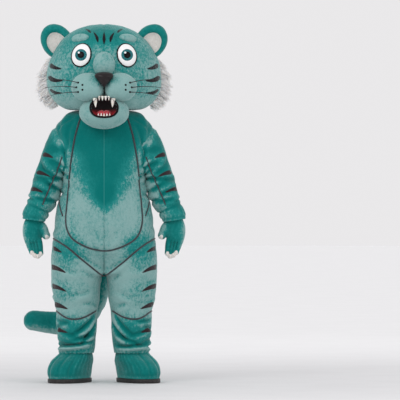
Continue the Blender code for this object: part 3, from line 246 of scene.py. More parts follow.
# On a sleeve, height is replaced by the distance along it from the shoulder, and turn runs from the outer
# side (0) over the front (0.25) and the inner side (0.5) to the back (0.75).
SLEEVE_CREASES = [Crease(*row) for row in (
    (0.060, 0.22, 0.070, 0.012, -0.0050, -30, 0.0), (0.080, 0.78, 0.070, 0.012, -0.0050, 30, 0.0),
    (0.118, 0.30, 0.060, 0.011, -0.0060, -14, 1.0), (0.125, 0.66, 0.060, 0.011, -0.0060, 12, 0.0),
    (0.150, 0.42, 0.060, 0.010, -0.0075, 10, 0.0), (0.172, 0.20, 0.070, 0.011, -0.0070, 16, -1.0),
    (0.176, 0.76, 0.070, 0.011, -0.0065, -14, 0.0), (0.198, 0.38, 0.065, 0.010, -0.0085, -8, 1.0),
    (0.214, 0.60, 0.060, 0.010, -0.0075, 12, 0.0), (0.226, 0.14, 0.060, 0.011, -0.0065, -10, 0.0),
    (0.236, 0.86, 0.060, 0.011, -0.0060, 14, 0.0), (0.252, 0.34, 0.070, 0.010, -0.0080, 12, -1.0),
    (0.262, 0.66, 0.060, 0.010, -0.0070, -10, 0.0), (0.282, 0.18, 0.065, 0.010, -0.0065, 8, 1.0),
    (0.290, 0.80, 0.065, 0.010, -0.0065, -8, 0.0), (0.304, 0.46, 0.065, 0.009, -0.0070, 0, 0.0),
    (0.326, 0.26, 0.060, 0.009, -0.0055, -10, 0.0), (0.334, 0.70, 0.060, 0.009, -0.0055, 10, 0.0),
    (0.352, 0.05, 0.055, 0.008, -0.0050, 0, 0.0),
)]  # fmt: skip
SLEEVE_CREASE_GAIN = 1.5  # how many times as deep as in the table they are made
SLEEVE_CREASE_SHIFT = 0.008  # how far along it the right sleeve's creases lie from the left's

# On the tail they are placed as on a sleeve, with turn once round it
TAIL_GIRTH = 0.40
TAIL_CREASES = [Crease(*row) for row in (
    (0.110, 0.75, 0.050, 0.010, -0.0045, 6, 0.0), (0.445, 0.10, 0.060, 0.012, -0.0040, 0, 0.0),
    (0.520, 0.18, 0.070, 0.012, -0.0055, 10, 0.0), (0.585, 0.22, 0.060, 0.012, -0.0045, -8, 0.0),
    (0.760, 0.20, 0.050, 0.010, -0.0030, 12, 0.0),
)]  # fmt: skip

SWELL_SHARE = 0.55  # of a crease's depth
SWELL_OFFSET = 1.9  # in half widths, from the crease to the middle of its swell
SWELL_WIDTH = 1.2  # in half widths

# Where the sleeves meet the body
ARMHOLE_FILLET = 0.011
ARMHOLE_FILLET_WIDTH = 0.024
ARMHOLE_SHADE = 1.1  # how far the nap there falls into shade
ARMHOLE_SHADE_WIDTH = 0.009
ARMHOLE_SHADE_TOP = 1.25
ARMHOLE_BOTTOM = 0.98
ARMHOLE_INNER = 0.10
SLEEVE_TOP = 1.24
HIDDEN_DEPTH = 0.022  # cloth of the body deeper than this in a sleeve is left out
HIDDEN_OUTER = 0.20  # and only where the sleeve is farther out than this
SLEEVE_SUNK = 0.006  # faces of a sleeve deeper than this in the body are left out
TAIL_SUNK = 0.02
SUNK = 0.012  # faces of a pad deeper than this in the head are left out
CUFF_HEIGHT = 0.910  # below it a sleeve's rings lie across the cuff's own direction
CUFF_DIRECTION = np.array([0.14, -0.99])
CUFF_GATHERS = 17
CUFF_GATHER_DEPTH = 0.0012
HEM_GATHERS = 23
HEM_GATHER_DEPTH = 0.0010

# Dark stripes: points of (distance from the centre line, height) seen from the front or the back, the
# greatest half width, and the share of the length where that is.
Stripe = namedtuple("Stripe", "points half_width peak front")
STRIPE_SPACING = 0.003
STRIPE_FULLNESS = 0.65  # the power of the length at which it widens and narrows
GRAZING_STEP = 0.012  # a stripe ends where the surface falls away this far between its points


def limb_stripes(rows, half_width):
    """Stripes that taper in from a limb's outer side: rows of outer side, height, length and drop."""
    made = []
    for front in (True, False):
        for outer, height, length, drop in rows:
            low = height - (0.0 if front else 0.016)
            bend = (outer - 0.5 * length, low - 0.35 * drop)
            made.append(Stripe([(outer, low), bend, (outer - length, low - drop)], half_width, 0.15, front))
    return made


SLEEVE_STRIPES = [(0.318, 1.178, 0.060, 0.022), (0.350, 1.086, 0.076, 0.026), (0.380, 1.000, 0.070, 0.022)]
LEG_STRIPES = [
    (0.292, 0.700, 0.078, 0.030), (0.286, 0.600, 0.094, 0.034), (0.276, 0.500, 0.086, 0.030),
    (0.262, 0.404, 0.078, 0.024), (0.254, 0.276, 0.070, 0.018),
]  # fmt: skip
BODY_STRIPES = limb_stripes(SLEEVE_STRIPES, 0.0125) + limb_stripes(LEG_STRIPES, 0.0145)
FACE_STRIPES = [
    # brow: one tapering mark up the middle and two beside it that lean outward
    Stripe([(0.0, 1.7350), (0.0, 1.7700), (0.0, 1.8100)], 0.0085, 0.40, True),
    Stripe([(0.030, 1.7420), (0.038, 1.7760), (0.056, 1.8060)], 0.0080, 0.40, True),
    Stripe([(0.066, 1.7960), (0.082, 1.8140), (0.104, 1.8240)], 0.0070, 0.35, True),
    # cheek: three wedges that point in from the side
    Stripe([(0.286, 1.640), (0.250, 1.620), (0.214, 1.612)], 0.0130, 0.20, True),
    Stripe([(0.292, 1.575), (0.252, 1.556), (0.206, 1.552)], 0.0140, 0.20, True),
    Stripe([(0.284, 1.508), (0.246, 1.492), (0.208, 1.490)], 0.0120, 0.20, True),
]

# Where the nap is brushed pale (positive) or lies deep (negative), as seen from the front or the back
Patch = namedtuple("Patch", "x height half_width half_height amount")
FRONT_PATCHES = [Patch(*row) for row in (
    (0.0, 0.960, 0.060, 0.060, -0.30), (0.185, 0.690, 0.085, 0.090, -0.48),
    (0.225, 0.960, 0.050, 0.150, -0.25), (0.200, 0.470, 0.070, 0.060, -0.20),
    (0.150, 0.235, 0.170, 0.095, -0.62),
)]  # fmt: skip
BACK_PATCHES = [Patch(*row) for row in (
    (0.150, 0.500, 0.170, 0.085, -0.48), (0.150, 0.230, 0.170, 0.085, -0.42),
)]  # fmt: skip
# Half the width of the deep nap over the chest and over the back
FRONT_DEEP = [  # height and half width
    (0.860, -0.060), (0.900, 0.000), (0.955, 0.060), (1.020, 0.092), (1.080, 0.124), (1.180, 0.160),
    (1.260, 0.250), (1.320, 0.340), (1.420, 0.360),
]  # fmt: skip
BACK_DEEP = [  # height and half width
    (0.690, -0.060), (0.740, 0.000), (0.790, 0.090), (0.840, 0.165), (0.880, 0.130), (0.950, 0.120),
    (1.050, 0.135), (1.150, 0.175), (1.236, 0.250), (1.300, 0.330), (1.420, 0.360),
]  # fmt: skip
DEEP_NAP, PALE_NAP = 0.00, 0.88
NAP_EDGE = 0.170  # over which deep nap turns pale
NAP = 0.50  # where no patch lies
PAINTED_SHADING_ON_RELIEF = 30.0  # painted light: paler per metre that a swell stands proud; painted shade: darker per metre that a trough sinks
# the same painted light and shade, made stronger on the sleeves
SLEEVE_PAINTED_SHADING_ON_RELIEF = 2.2 * PAINTED_SHADING_ON_RELIEF

# A panel's flat size: width, length and area.
Cut = namedtuple("Cut", "width length area")

# Colours, linear
DEEP_TEAL = (0.0010, 0.1750, 0.1620)
MID_TEAL = (0.0180, 0.2600, 0.2450)
PALE_TEAL = (0.2700, 0.4600, 0.4450)
STRIPE_BROWN = (0.0340, 0.0220, 0.0250)
STRIPE_BLACK = (0.0120, 0.0090, 0.0120)
PIPING_GREY = (0.0400, 0.0480, 0.0560)
CREAM = (0.8200, 0.7700, 0.7300)
WHITE_FUR = (0.9600, 0.9450, 0.9350)


# Numbers and surfaces


def up(height):
    return height - SHOULDER_HEIGHT


def height_of(points):
    return points[:, 2] + SHOULDER_HEIGHT


def eased(t):
    t = np.clip(t, 0.0, 1.0)
    return t * t * (3 - 2 * t)


def power(value, exponent):
    return np.sign(value) * np.abs(value) ** exponent


def hump(distance, width):
    """1 at no distance, falling smoothly to nothing over about two widths."""
    return np.exp(-((distance / width) ** 2))


def circle(count):
    """Angles spaced evenly round a circle."""
    return 2 * np.pi * np.arange(count) / count


def oval(count, x, y, z, half_width, half_depth, squareness=1.0):
    """A level ring of points."""
    angle = circle(count)
    across = x + half_width * power(np.cos(angle), squareness)
    return np.column_stack([across, y + half_depth * np.sin(angle), np.full(count, z)])


def unit_rows(vectors):
    return vectors / np.linalg.norm(vectors, axis=1)[:, None]


def read(table, at):
    """The table's other columns at any values of its first, on smooth curves through its rows."""
    rows = np.array(table, float)
    places = rows[:, 0]
    at = np.clip(np.asarray(at, float), places[0], places[-1])
    i = np.clip(np.searchsorted(places, at, "right") - 1, 0, len(rows) - 2)
    before = np.maximum(np.arange(len(rows)) - 1, 0)
    after = np.minimum(np.arange(len(rows)) + 1, len(rows) - 1)
    slopes = (rows[after] - rows[before]) / (places[after] - places[before])[:, None]
    span = (places[i + 1] - places[i])[..., None]
    t = (at - places[i])[..., None] / span
    values = rows[i] * (1 + 2 * t) * (1 - t) ** 2 + slopes[i] * span * t * (1 - t) ** 2
    values += rows[i + 1] * t * t * (3 - 2 * t) - slopes[i + 1] * span * t * t * (1 - t)
    return np.moveaxis(values, -1, 0)[1:]


def smooth_rows(rows, spacing, place=slice(None)):
    """Rows on a smooth curve through the given ones, a spacing apart in the columns that give the place."""
    rows = np.array(rows, float)
    steps = np.linalg.norm(np.diff(rows[:, place], axis=0), axis=1)
    chord = np.concatenate([[0.0], np.cumsum(steps)])
    count = max(2, round(chord[-1] / spacing) + 1)
    return read(np.column_stack([chord, rows]), np.linspace(0, chord[-1], count)).T


SEED_STEPS = (17.3, 5.7, 11.1)


def rough(points, scale, seed, octaves=3):
    """Smooth unevenness between about -1 and 1 at each point."""
    shift = Vector([seed * step for step in SEED_STEPS])
    return np.array([noise.fractal(Vector(p) * scale + shift, 1.0, 2.0, octaves) for p in points])


def grid_faces(rows, columns, closed):
    """Four-sided faces of a grid of points, its columns joined end to end where it is closed."""
    i, j = np.meshgrid(np.arange(rows - 1), np.arange(columns if closed else columns - 1), indexing="ij")
    k = (j + 1) % columns
    corners = (i * columns + j, (i + 1) * columns + j, (i + 1) * columns + k, i * columns + k)
    return np.stack(corners, -1).reshape(-1, 4)


def vertex_normals(points, faces):
    normals = np.zeros_like(points)
    a, b, c, d = (points[faces[:, n]] for n in range(4))
    flat = np.cross(c - a, d - b)
    for n in range(4):
        np.add.at(normals, faces[:, n], flat)
    return normals / np.maximum(np.linalg.norm(normals, axis=1), 1e-12)[:, None]


def tree_of(points, faces):
    return BVHTree.FromPolygons([tuple(p) for p in points], [tuple(int(v) for v in f) for f in faces])


def joined(blocks):
    """Several lots of points and faces as one."""
    points, faces = [], []
    total = 0
    for own, cells in blocks:
        faces += [[vertex + total for vertex in cell] for cell in cells]
        points.append(own)
        total += len(own)
    return np.concatenate(points), faces


def reach(points, tree):
    """How far each point lies outside a surface."""
    hits = [tree.find_nearest(Vector(p)) for p in points]
    return np.array([(Vector(p) - hit[0]).dot(hit[1]) for p, hit in zip(points, hits, strict=True)])


def standing_out(points, faces, tree, depth):
    """Which faces have a corner less deep than this inside a surface."""
    return reach(points, tree)[faces].max(axis=1) > -depth


def ring_loft(rings):
    """Points and faces of a tube through rings of the same length, with n-sided ends."""
    sides = len(rings[0])
    faces = grid_faces(len(rings), sides, True).tolist()
    faces.append(list(range(sides)))
    faces.append(list(range((len(rings) - 1) * sides, len(rings) * sides))[::-1])
    return np.concatenate(rings), faces


def piece(name, points, faces, look, stands_for=(), fields=None, wall=0.0):
    """An object of the costume. faces may be an array or a list; fields are values for each point."""
    mesh = bpy.data.meshes.new(name)
    mesh.from_pydata([tuple(p) for p in points], [], [tuple(int(v) for v in f) for f in faces])
    mesh.shade_smooth()
    mesh.materials.append(look)
    for key, values in (fields or {}).items():
        layer = mesh.attributes.new(key, "FLOAT", "POINT")
        layer.data.foreach_set("value", np.asarray(values, np.float32))
    made = bpy.data.objects.new(name, mesh)
    bpy.context.scene.collection.objects.link(made)
    if wall:
        step = made.modifiers.new("wall", "SOLIDIFY")
        step.thickness = wall
        step.offset = -1
        built = made.evaluated_get(bpy.context.evaluated_depsgraph_get())
        made.data = bpy.data.meshes.new_from_object(built)
        made.modifiers.clear()
        made.data.set_sharp_from_angle(angle=SHARP_ANGLE)
    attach(made, "root")
    if stands_for:
        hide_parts(*([stands_for] if isinstance(stands_for, str) else stands_for))
    return made


def part_of(points, faces, keep):
    """The kept faces with only the points they use, and which points those are."""
    faces = faces[keep]
    used = np.unique(faces)
    lookup = np.full(len(points), -1)
    lookup[used] = np.arange(len(used))
    return points[used], lookup[faces], used


def creased(creases, along_line, around, girth, period):
    """How far creases push each point of a tube outward."""
    push = np.zeros_like(along_line)
    for crease in creases:
        across = (around - crease.turn * girth + period / 2) % period - period / 2
        rise = along_line - crease.height
        tilt = math.radians(crease.tilt)
        along = across * math.cos(tilt) + rise * math.sin(tilt)
        off = rise * math.cos(tilt) - across * math.sin(tilt) - crease.bow * along * along
        off /= crease.half_width
        ends = np.exp(-((along / crease.half_length) ** 4))
        swell = SWELL_SHARE * hump(off + SWELL_OFFSET, SWELL_WIDTH)
        push += crease.depth * ends * (hump(off, 1) - swell)
    return push


BLOCK = 4000  # points taken at a time, to spare memory


def nearest_distance(points, targets, radii=0.0):
    """Distance from each point to the nearest target, less that target's radius."""
    found = []
    for start in range(0, len(points), BLOCK):
        block = points[start : start + BLOCK]
        gaps = np.linalg.norm(block[:, None] - targets[None], axis=2) - radii
        found.append(gaps.min(axis=1))
    return np.concatenate(found)


def stripe_field(points, tree, stripes):
    """Distance outside the nearest stripe's edge, negative inside it."""
    centres, radii = [], []
    for stripe in stripes:
        path = smooth_rows(stripe.points, STRIPE_SPACING)
        share = np.linspace(0, 1, len(path))
        rising = (share / stripe.peak) ** STRIPE_FULLNESS
        falling = ((1 - share) / (1 - stripe.peak)) ** STRIPE_FULLNESS
        profile = stripe.half_width * np.where(share < stripe.peak, rising, falling)
        for side in (1, -1):
            last = None
            for (x, height), radius in zip(path[::-1], profile[::-1], strict=True):
                hit = shot(tree, side * x, height, stripe.front)
                if last is not None and (hit is None or abs(hit[1] - last[1]) > GRAZING_STEP):
                    break
                if hit is not None:
                    centres.append(hit)
                    radii.append(radius)
                    last = hit
    found = nearest_distance(points, np.array(centres), np.array(radii))
    return np.minimum(found, UNMARKED)


def shot(tree, x, height, front):
    """Where a line along Y first meets a surface, or None."""
    start = Vector((x, -1.0 if front else 1.0, up(height)))
    hit = tree.ray_cast(start, Vector((0, 1.0 if front else -1.0, 0)))[0]
    return None if hit is None else np.array(hit)


def traced(tree, seam, front, side=1, from_edge=True):
    """A seam's points on a surface, from where it leaves the silhouette."""
    path = smooth_rows(seam, SEAM_SPACING) if len(seam) > 2 else np.array(seam, float)
    found = []
    for x, height in path:
        hit = shot(tree, side * x, height, front) if abs(x) < FAR - 0.05 else None
        if hit is None:
            edge = tree.find_nearest(Vector((side * x, 0.0, up(height))))[0]
            if not found:
                start = edge
            elif abs(found[-1][1]) > EDGE_GAP:
                found.append(np.array(edge))
                break
            continue
        if from_edge and not found and abs(path[0][0]) > SILHOUETTE:
            start = tree.find_nearest(Vector((side * x * 1.02, 0.0, up(height))))[0]
            if abs(start[1]) < abs(hit[1]):
                found.append(np.array(start))
        found.append(hit)
    dense = smooth_rows(found, SEAM_SPACING)
    return np.array([tree.find_nearest(Vector(p))[0] for p in dense])


def toward_back(points):
    """0 on the front, 1 on the back."""
    return eased((points[:, 1] + 0.04) / 0.08)


def on_legs(height):
    """0 above the top of the legs, 1 below it."""
    return eased((LEG_TOP - height) / 0.06)


def unevenness(points, coarse, fine):
    """Broad and fine unevenness, each given as its size, its scale and its seed."""
    return coarse[0] * rough(points, *coarse[1:]) + fine[0] * rough(points, *fine[1:], 2)


def suit_nap_and_fold_shading(points, relief):
    """Deep nap over the chest and back, pale with brushing below and at the sides, with painted light on the
    swells of the folds and painted shade in their troughs.
    """
    x, height = np.abs(points[:, 0]), height_of(points)
    wander = 0.016 * rough(points, 14, 51)
    blend = toward_back(points)
    pale = 0
    for table, share in ((FRONT_DEEP, 1 - blend), (BACK_DEEP, blend)):
        outside = x - read(table, height)[0] + wander
        pale = pale + share * (DEEP_NAP + (PALE_NAP - DEEP_NAP) * eased(outside / NAP_EDGE + 0.5))
    # Painted light and shade from the folds, stronger on the legs
    folded = on_legs(height) * np.where(height < 0.37, 1.0, blend)
    folds = (1 + 1.3 * folded) * PAINTED_SHADING_ON_RELIEF * relief
    return nap_patches_and_relief_shading(points, FRONT_PATCHES, BACK_PATCHES, 0.0) - NAP + pale + folds


def nap_patches_and_relief_shading(points, front_patches, back_patches, relief):
    x, height = np.abs(points[:, 0]), height_of(points)
    # relief gives painted light where the surface swells and painted shade where it sinks
    pale = NAP + PAINTED_SHADING_ON_RELIEF * relief
    blend = toward_back(points)
    for patches, share in ((front_patches, 1 - blend), (back_patches, blend)):
        for patch in patches:
            u = (x - patch.x) / patch.half_width
            v = (height - patch.height) / patch.half_height
            pale = pale + share * patch.amount * np.exp(-((u * u + v * v) ** 1.5))
    return pale


# Materials


def new_material(name, slot, colour, roughness, **sockets):
    """A Principled material, its shader and its node tree. slot is not used."""
    made = bpy.data.materials.new(name)
    made.use_nodes = True
    shader = made.node_tree.nodes["Principled BSDF"]
    shader.inputs["Base Color"].default_value = (*colour, 1)
    shader.inputs["Roughness"].default_value = roughness
    for key, value in sockets.items():
        shader.inputs[key.replace("_", " ")].default_value = value
    return made, shader, made.node_tree


def wire(tree, value, socket):
    """Feeds a socket from another socket or sets it to a number or colour."""
    if isinstance(value, bpy.types.NodeSocket):
        tree.links.new(value, socket)
    elif isinstance(value, tuple):
        socket.default_value = (*value, 1)
    else:
        socket.default_value = value


def speckle(tree, scale, detail, stretch=(1, 1, 1), distortion=0.0):
    """Noise of a scale in cells for each metre, from 0 to 1, on the costume's own coordinates."""
    coordinates = tree.nodes.new("ShaderNodeTexCoord")
    mapping = tree.nodes.new("ShaderNodeMapping")
    mapping.inputs["Scale"].default_value = stretch
    texture = tree.nodes.new("ShaderNodeTexNoise")
    texture.inputs["Scale"].default_value = scale
    texture.inputs["Detail"].default_value = detail
    texture.inputs["Distortion"].default_value = distortion
    tree.links.new(coordinates.outputs["Object"], mapping.inputs["Vector"])
    tree.links.new(mapping.outputs["Vector"], texture.inputs["Vector"])
    return texture.outputs["Fac"]


def work(tree, operation, a, b):
    made = tree.nodes.new("ShaderNodeMath")
    made.operation = operation
    wire(tree, a, made.inputs[0])
    wire(tree, b, made.inputs[1])
    return made.outputs[0]


def centred(tree, amount, *cells, **form):
    """Noise that swings about nought, the amount from its lowest to its highest."""
    swing = work(tree, "SUBTRACT", speckle(tree, *cells, **form), 0.5)
    return work(tree, "MULTIPLY", swing, amount)


def between(tree, value, low, high, start=0.0, end=1.0):
    made = tree.nodes.new("ShaderNodeMapRange")
    made.interpolation_type = "SMOOTHSTEP"
    wire(tree, value, made.inputs["Value"])
    for key, number in (("From Min", low), ("From Max", high), ("To Min", start), ("To Max", end)):
        made.inputs[key].default_value = number
    return made.outputs["Result"]


def mixed(tree, share, first, second):
    made = tree.nodes.new("ShaderNodeMix")
    made.data_type = "RGBA"
    wire(tree, share, made.inputs["Factor"])
    wire(tree, first, made.inputs["A"])
    wire(tree, second, made.inputs["B"])
    return made.outputs["Result"]


def field(tree, name):
    made = tree.nodes.new("ShaderNodeAttribute")
    made.attribute_name = name
    return made.outputs["Fac"]


def bump(tree, height, distance, strength, below=None):
    made = tree.nodes.new("ShaderNodeBump")
    made.inputs["Strength"].default_value = strength
    made.inputs["Distance"].default_value = distance
    tree.links.new(height, made.inputs["Height"])
    if below is not None:
        tree.links.new(below, made.inputs["Normal"])
    return made.outputs["Normal"]


def darker(colour, share):
    return tuple(share * value for value in colour)


def plush(name, slot, deep=DEEP_TEAL, mid=MID_TEAL, pale=PALE_TEAL, stripe=None, cream=None):
    """Short pile: a deep nap with pale brushing in patches, flecked where they meet, with a soft sheen. The
    pale field also carries painted light and shade of the folds, seams and armholes.
    """
    made, shader, tree = new_material(
        name, slot, mid, 0.92, Sheen_Weight=0.55, Sheen_Roughness=0.38, Specular_IOR_Level=0.08
    )
    shader.inputs["Sheen Tint"].default_value = (*(0.5 + 0.5 * value for value in pale), 1)
    pale_nap_and_shade = field(tree, "pale")
    clouds = centred(tree, 0.45, 11, 2)
    tufts = work(tree, "SUBTRACT", speckle(tree, 92, 2, stretch=(1, 1, 0.75), distortion=0.4), 0.5)
    broken = work(tree, "ADD", work(tree, "MULTIPLY", tufts, 1.05), centred(tree, 0.9, 300, 3))
    broken = work(tree, "MULTIPLY", broken, between(tree, pale_nap_and_shade, 0.0, 0.45, 0.25, 1.0))
    broken = work(tree, "MULTIPLY", broken, between(tree, pale_nap_and_shade, 0.62, 1.05, 1.0, 0.40))
    nap = work(tree, "ADD", pale_nap_and_shade, work(tree, "ADD", clouds, broken))
    colour = mixed(tree, between(tree, nap, -0.10, 0.52), deep, mid)
    colour = mixed(tree, between(tree, nap, 0.42, 0.98), colour, pale)
    # Painted shade: where the pale field falls far, in deep creases and at the armholes, the colour goes
    # darker than the deep nap
    colour = mixed(tree, between(tree, pale_nap_and_shade, -1.1, -0.35), darker(deep, 0.22), colour)
    pile = speckle(tree, 900, 2, stretch=(1, 1, 0.45))
    colour = mixed(tree, between(tree, pile, 0.30, 0.70, 0.22, 0.0), colour, darker(deep, 0.35))
    if stripe is not None:
        seam = between(tree, field(tree, "seam"), 0.0008, 0.0024, 0.6, 0.0)
        thread = mixed(tree, between(tree, nap, 0.3, 0.7), (0.060, 0.300, 0.285), (0.030, 0.140, 0.135))
        colour = mixed(tree, seam, colour, thread)
        edge = work(tree, "ADD", field(tree, "stripe"), centred(tree, 0.0050, 420, 2))
        colour = mixed(tree, between(tree, edge, -0.0010, 0.0010), stripe, colour)
    if cream is not None:
        inside = work(tree, "ADD", field(tree, "cream"), centred(tree, 0.0040, 420, 2))
        colour = mixed(tree, between(tree, inside, -0.0010, 0.0010), colour, cream)
    tree.links.new(colour, shader.inputs["Base Color"])
    soft = bump(tree, tufts, 0.0014, 0.6)
    tree.links.new(bump(tree, pile, 0.0016, 0.55, soft), shader.inputs["Normal"])
    return made


def finish(name, slot, colour, roughness, mottle=None, grain=None, **sockets):
    """A material mottled between two colours and finely bumped.

    mottle is the noise's scale, detail, low and high, then the two colours. grain is the noise's scale and
    detail, then the bump's distance and strength.
    """
    made, shader, tree = new_material(name, slot, colour, roughness, **sockets)
    if mottle is not None:
        scale, detail, low, high, first, second = mottle
        share = between(tree, speckle(tree, scale, detail), low, high)
        tree.links.new(mixed(tree, share, first, second), shader.inputs["Base Color"])
    if grain is not None:
        scale, detail, distance, strength = grain
        bumps = bump(tree, speckle(tree, scale, detail), distance, strength)
        tree.links.new(bumps, shader.inputs["Normal"])
    return made


def mouth_felt():
    """Red at the bottom of the mouth, near black above."""
    made = finish("mouth_felt", "mouth_red", (0.25, 0.01, 0.015), 0.8, grain=(700, 2, 0.0010, 0.5))
    tree = made.node_tree
    depth = tree.nodes.new("ShaderNodeTexCoord")
    split = tree.nodes.new("ShaderNodeSeparateXYZ")
    tree.links.new(depth.outputs["Object"], split.inputs["Vector"])
    low = between(tree, split.outputs["Z"], up(1.372), up(1.408))
    felt = mixed(tree, low, (0.480, 0.012, 0.020), (0.010, 0.006, 0.007))
    tree.links.new(felt, tree.nodes["Principled BSDF"].inputs["Base Color"])
    return made


def make_materials():
    return {
        "body": plush("body_plush", "teal_plush", stripe=STRIPE_BROWN),
        "head": plush("head_plush", "teal_plush", stripe=STRIPE_BLACK),
        "plain": plush("plain_plush", "teal_plush"),
        "pads": plush("pad_plush", "pale_teal_plush"),
        "mitt": plush("mitt_plush", "teal_plush", cream=CREAM),
        "cream": plush("cream_plush", "white_plush", (0.66, 0.58, 0.54), CREAM, (0.90, 0.87, 0.84)),
        "piping": finish(
            "piping_cloth", "teal_plush", PIPING_GREY, 0.85,
            (1400, 2, 0.3, 0.7, darker(PIPING_GREY, 0.6), PIPING_GREY), (1400, 2, 0.0008, 0.6),
            Sheen_Weight=0.3,
        ),
        "fur": finish(
            "fur_fibre", "white_fur", WHITE_FUR, 0.75, (60, 3, 0.3, 0.7, (0.88, 0.86, 0.85), WHITE_FUR),
            Sheen_Weight=0.4, Subsurface_Weight=0.6, Subsurface_Radius=(0.030, 0.028, 0.026),
        ),
        "nose": finish(
            "nose_gloss", "black_gloss", (0.010, 0.006, 0.007), 0.34, None, (260, 3, 0.0006, 0.35),
            Specular_IOR_Level=0.22, Coat_Weight=0.10, Coat_Roughness=0.25,
        ),
        "eye": finish(
            "eye_white", "white_gloss", (0.92, 0.91, 0.91), 0.30,
            (14, 3, 0.35, 0.75, (0.93, 0.92, 0.92), (0.88, 0.87, 0.87)), Specular_IOR_Level=0.30,
        ),
        "iris": finish(
            "iris", "black_gloss", (0.01, 0.16, 0.16), 0.30,
            (240, 3, 0.3, 0.7, (0.004, 0.070, 0.085), (0.030, 0.210, 0.230)), Specular_IOR_Level=0.15,
        ),
        "pupil": finish(
            "pupil", "black_gloss", (0.003, 0.002, 0.003), 0.30, None, (30, 2, 0.0003, 0.2),
            Specular_IOR_Level=0.10,
        ),
        "line": finish(
            "eye_line", "black_gloss", (0.006, 0.005, 0.006), 0.60, None, (800, 2, 0.0008, 0.5),
            Specular_IOR_Level=0.10,
        ),
        "tooth": finish(
            "tooth", "white_gloss", (0.86, 0.83, 0.77), 0.28,
            (45, 3, 0.35, 0.75, (0.88, 0.86, 0.81), (0.78, 0.72, 0.64)),
            Coat_Weight=0.25, Subsurface_Weight=0.15, Subsurface_Radius=(0.010, 0.007, 0.005),
        ),
        "mouth": mouth_felt(),
        "tongue": finish(
            "tongue_felt", "tongue_pink", (0.50, 0.02, 0.035), 0.55,
            (160, 3, 0.3, 0.7, (0.36, 0.010, 0.022), (0.58, 0.035, 0.055)), (500, 2, 0.0012, 0.5),
            Sheen_Weight=0.3,
        ),
        "sole": finish(
            "moulded_sole", "sole_rubber", (0.012, 0.011, 0.011), 0.62,
            (120, 4, 0.4, 0.75, (0.010, 0.009, 0.009), (0.040, 0.037, 0.034)), (350, 3, 0.0008, 0.5),
        ),
        "whisker": finish(
            "whisker_nylon", "whisker", (0.018, 0.015, 0.018), 0.40, None, (500, 1, 0.0002, 0.3)
        ),
    }


# The body suit


def suit_points(height, turn):
    """Points of the left half of the suit. turn runs 0 to 1 round the outside and, below the crotch, 1 to
    2 along the inside of the leg."""
    half_width, front, back = read(TRUNK, height)
    angle = np.pi * turn
    trunk_x = half_width * power(np.sin(angle), TRUNK_SQUARENESS)
    trunk_y = -np.where(turn < 0.5, front, back) * power(np.cos(angle), TRUNK_SQUARENESS)
    centre, half_width, front, back = read(LEG, height)
    outer = -LEG_CORNER + (np.pi + 2 * LEG_CORNER) * turn
    inner = np.pi + LEG_CORNER + (np.pi - 2 * LEG_CORNER) * (turn - 1)
    angle = np.where(turn <= 1, outer, inner)
    leg_x = centre + half_width * np.sin(angle)
    leg_y = -np.where(np.cos(angle) > 0, front, back) * np.cos(angle)
    end_x = centre - half_width * math.sin(LEG_CORNER)
    inward = 1 - eased(np.abs(turn - np.round(turn)) / LEG_JOIN)
    legs = eased((HIP - height) / (HIP - CROTCH))
    gusset = 1 - eased((CROTCH - height) / GUSSET)
    share = turn - 1
    line_y = (back * (1 - share) - front * share) * math.cos(LEG_CORNER)
    x = np.where(height >= CROTCH, trunk_x + (leg_x - trunk_x) * legs - end_x * legs * inward, 0.0)
    x = np.where(height < CROTCH, leg_x - end_x * inward * gusset, x)
    x = np.where(turn > 1, leg_x * (1 - gusset), x)
    y = np.where(height >= CROTCH, trunk_y + (leg_y - trunk_y) * legs, leg_y)
    y = np.where(turn > 1, leg_y + (line_y - leg_y) * gusset, y)
    return np.stack([x, y, up(height)], -1)


def suit_base():
    """The suit's plain form: points, faces and each point's height, turn and side."""
    points, faces, facts = [], [], []
    total = 0
    outer = np.linspace(0, 1, SUIT_COLUMNS + 1)
    inner = 1 + np.arange(1, INNER_LEG_COLUMNS) / INNER_LEG_COLUMNS
    trunk_heights = np.append(np.arange(TRUNK[-1].height, CROTCH - 1e-6, -CELL), CROTCH)
    blocks = (
        (trunk_heights, outer, False),
        (np.linspace(CROTCH, LEG[0].height, LEG_ROWS), np.concatenate([outer, inner]), True),
    )
    for side in (1, -1):
        for heights, turns, closed in blocks:
            height, turn = np.meshgrid(heights, turns, indexing="ij")
            block = suit_points(height, turn).reshape(-1, 3)
            block[:, 0] *= side
            cells = grid_faces(len(heights), len(turns), closed)
            faces.append((cells if side > 0 else cells[:, ::-1]) + total)
            points.append(block)
            facts.append(np.column_stack([height.ravel(), turn.ravel(), np.full(height.size, side)]))
            total += len(block)
    points, faces, facts = np.concatenate(points), np.concatenate(faces), np.concatenate(facts)
    _, first, where = np.unique(np.round(points, 5), axis=0, return_index=True, return_inverse=True)
    faces = where.ravel()[faces]
    solid = np.array([len(set(face)) == 4 for face in faces.tolist()])
    return points[first], faces[solid], facts[first]


def right_creases():
    """The suit's creases on the right half, each a little unlike its mirror image."""
    return [
        crease._replace(
            height=crease.height + CREASE_SHIFT * math.sin(2.3 * i),
            turn=crease.turn + 0.03 * math.cos(1.9 * i),
            depth=crease.depth * (1 + 0.25 * math.sin(3.1 * i)),
            tilt=crease.tilt + 9 * math.sin(4.7 * i),
        )
        for i, crease in enumerate(SUIT_CREASES)
    ]


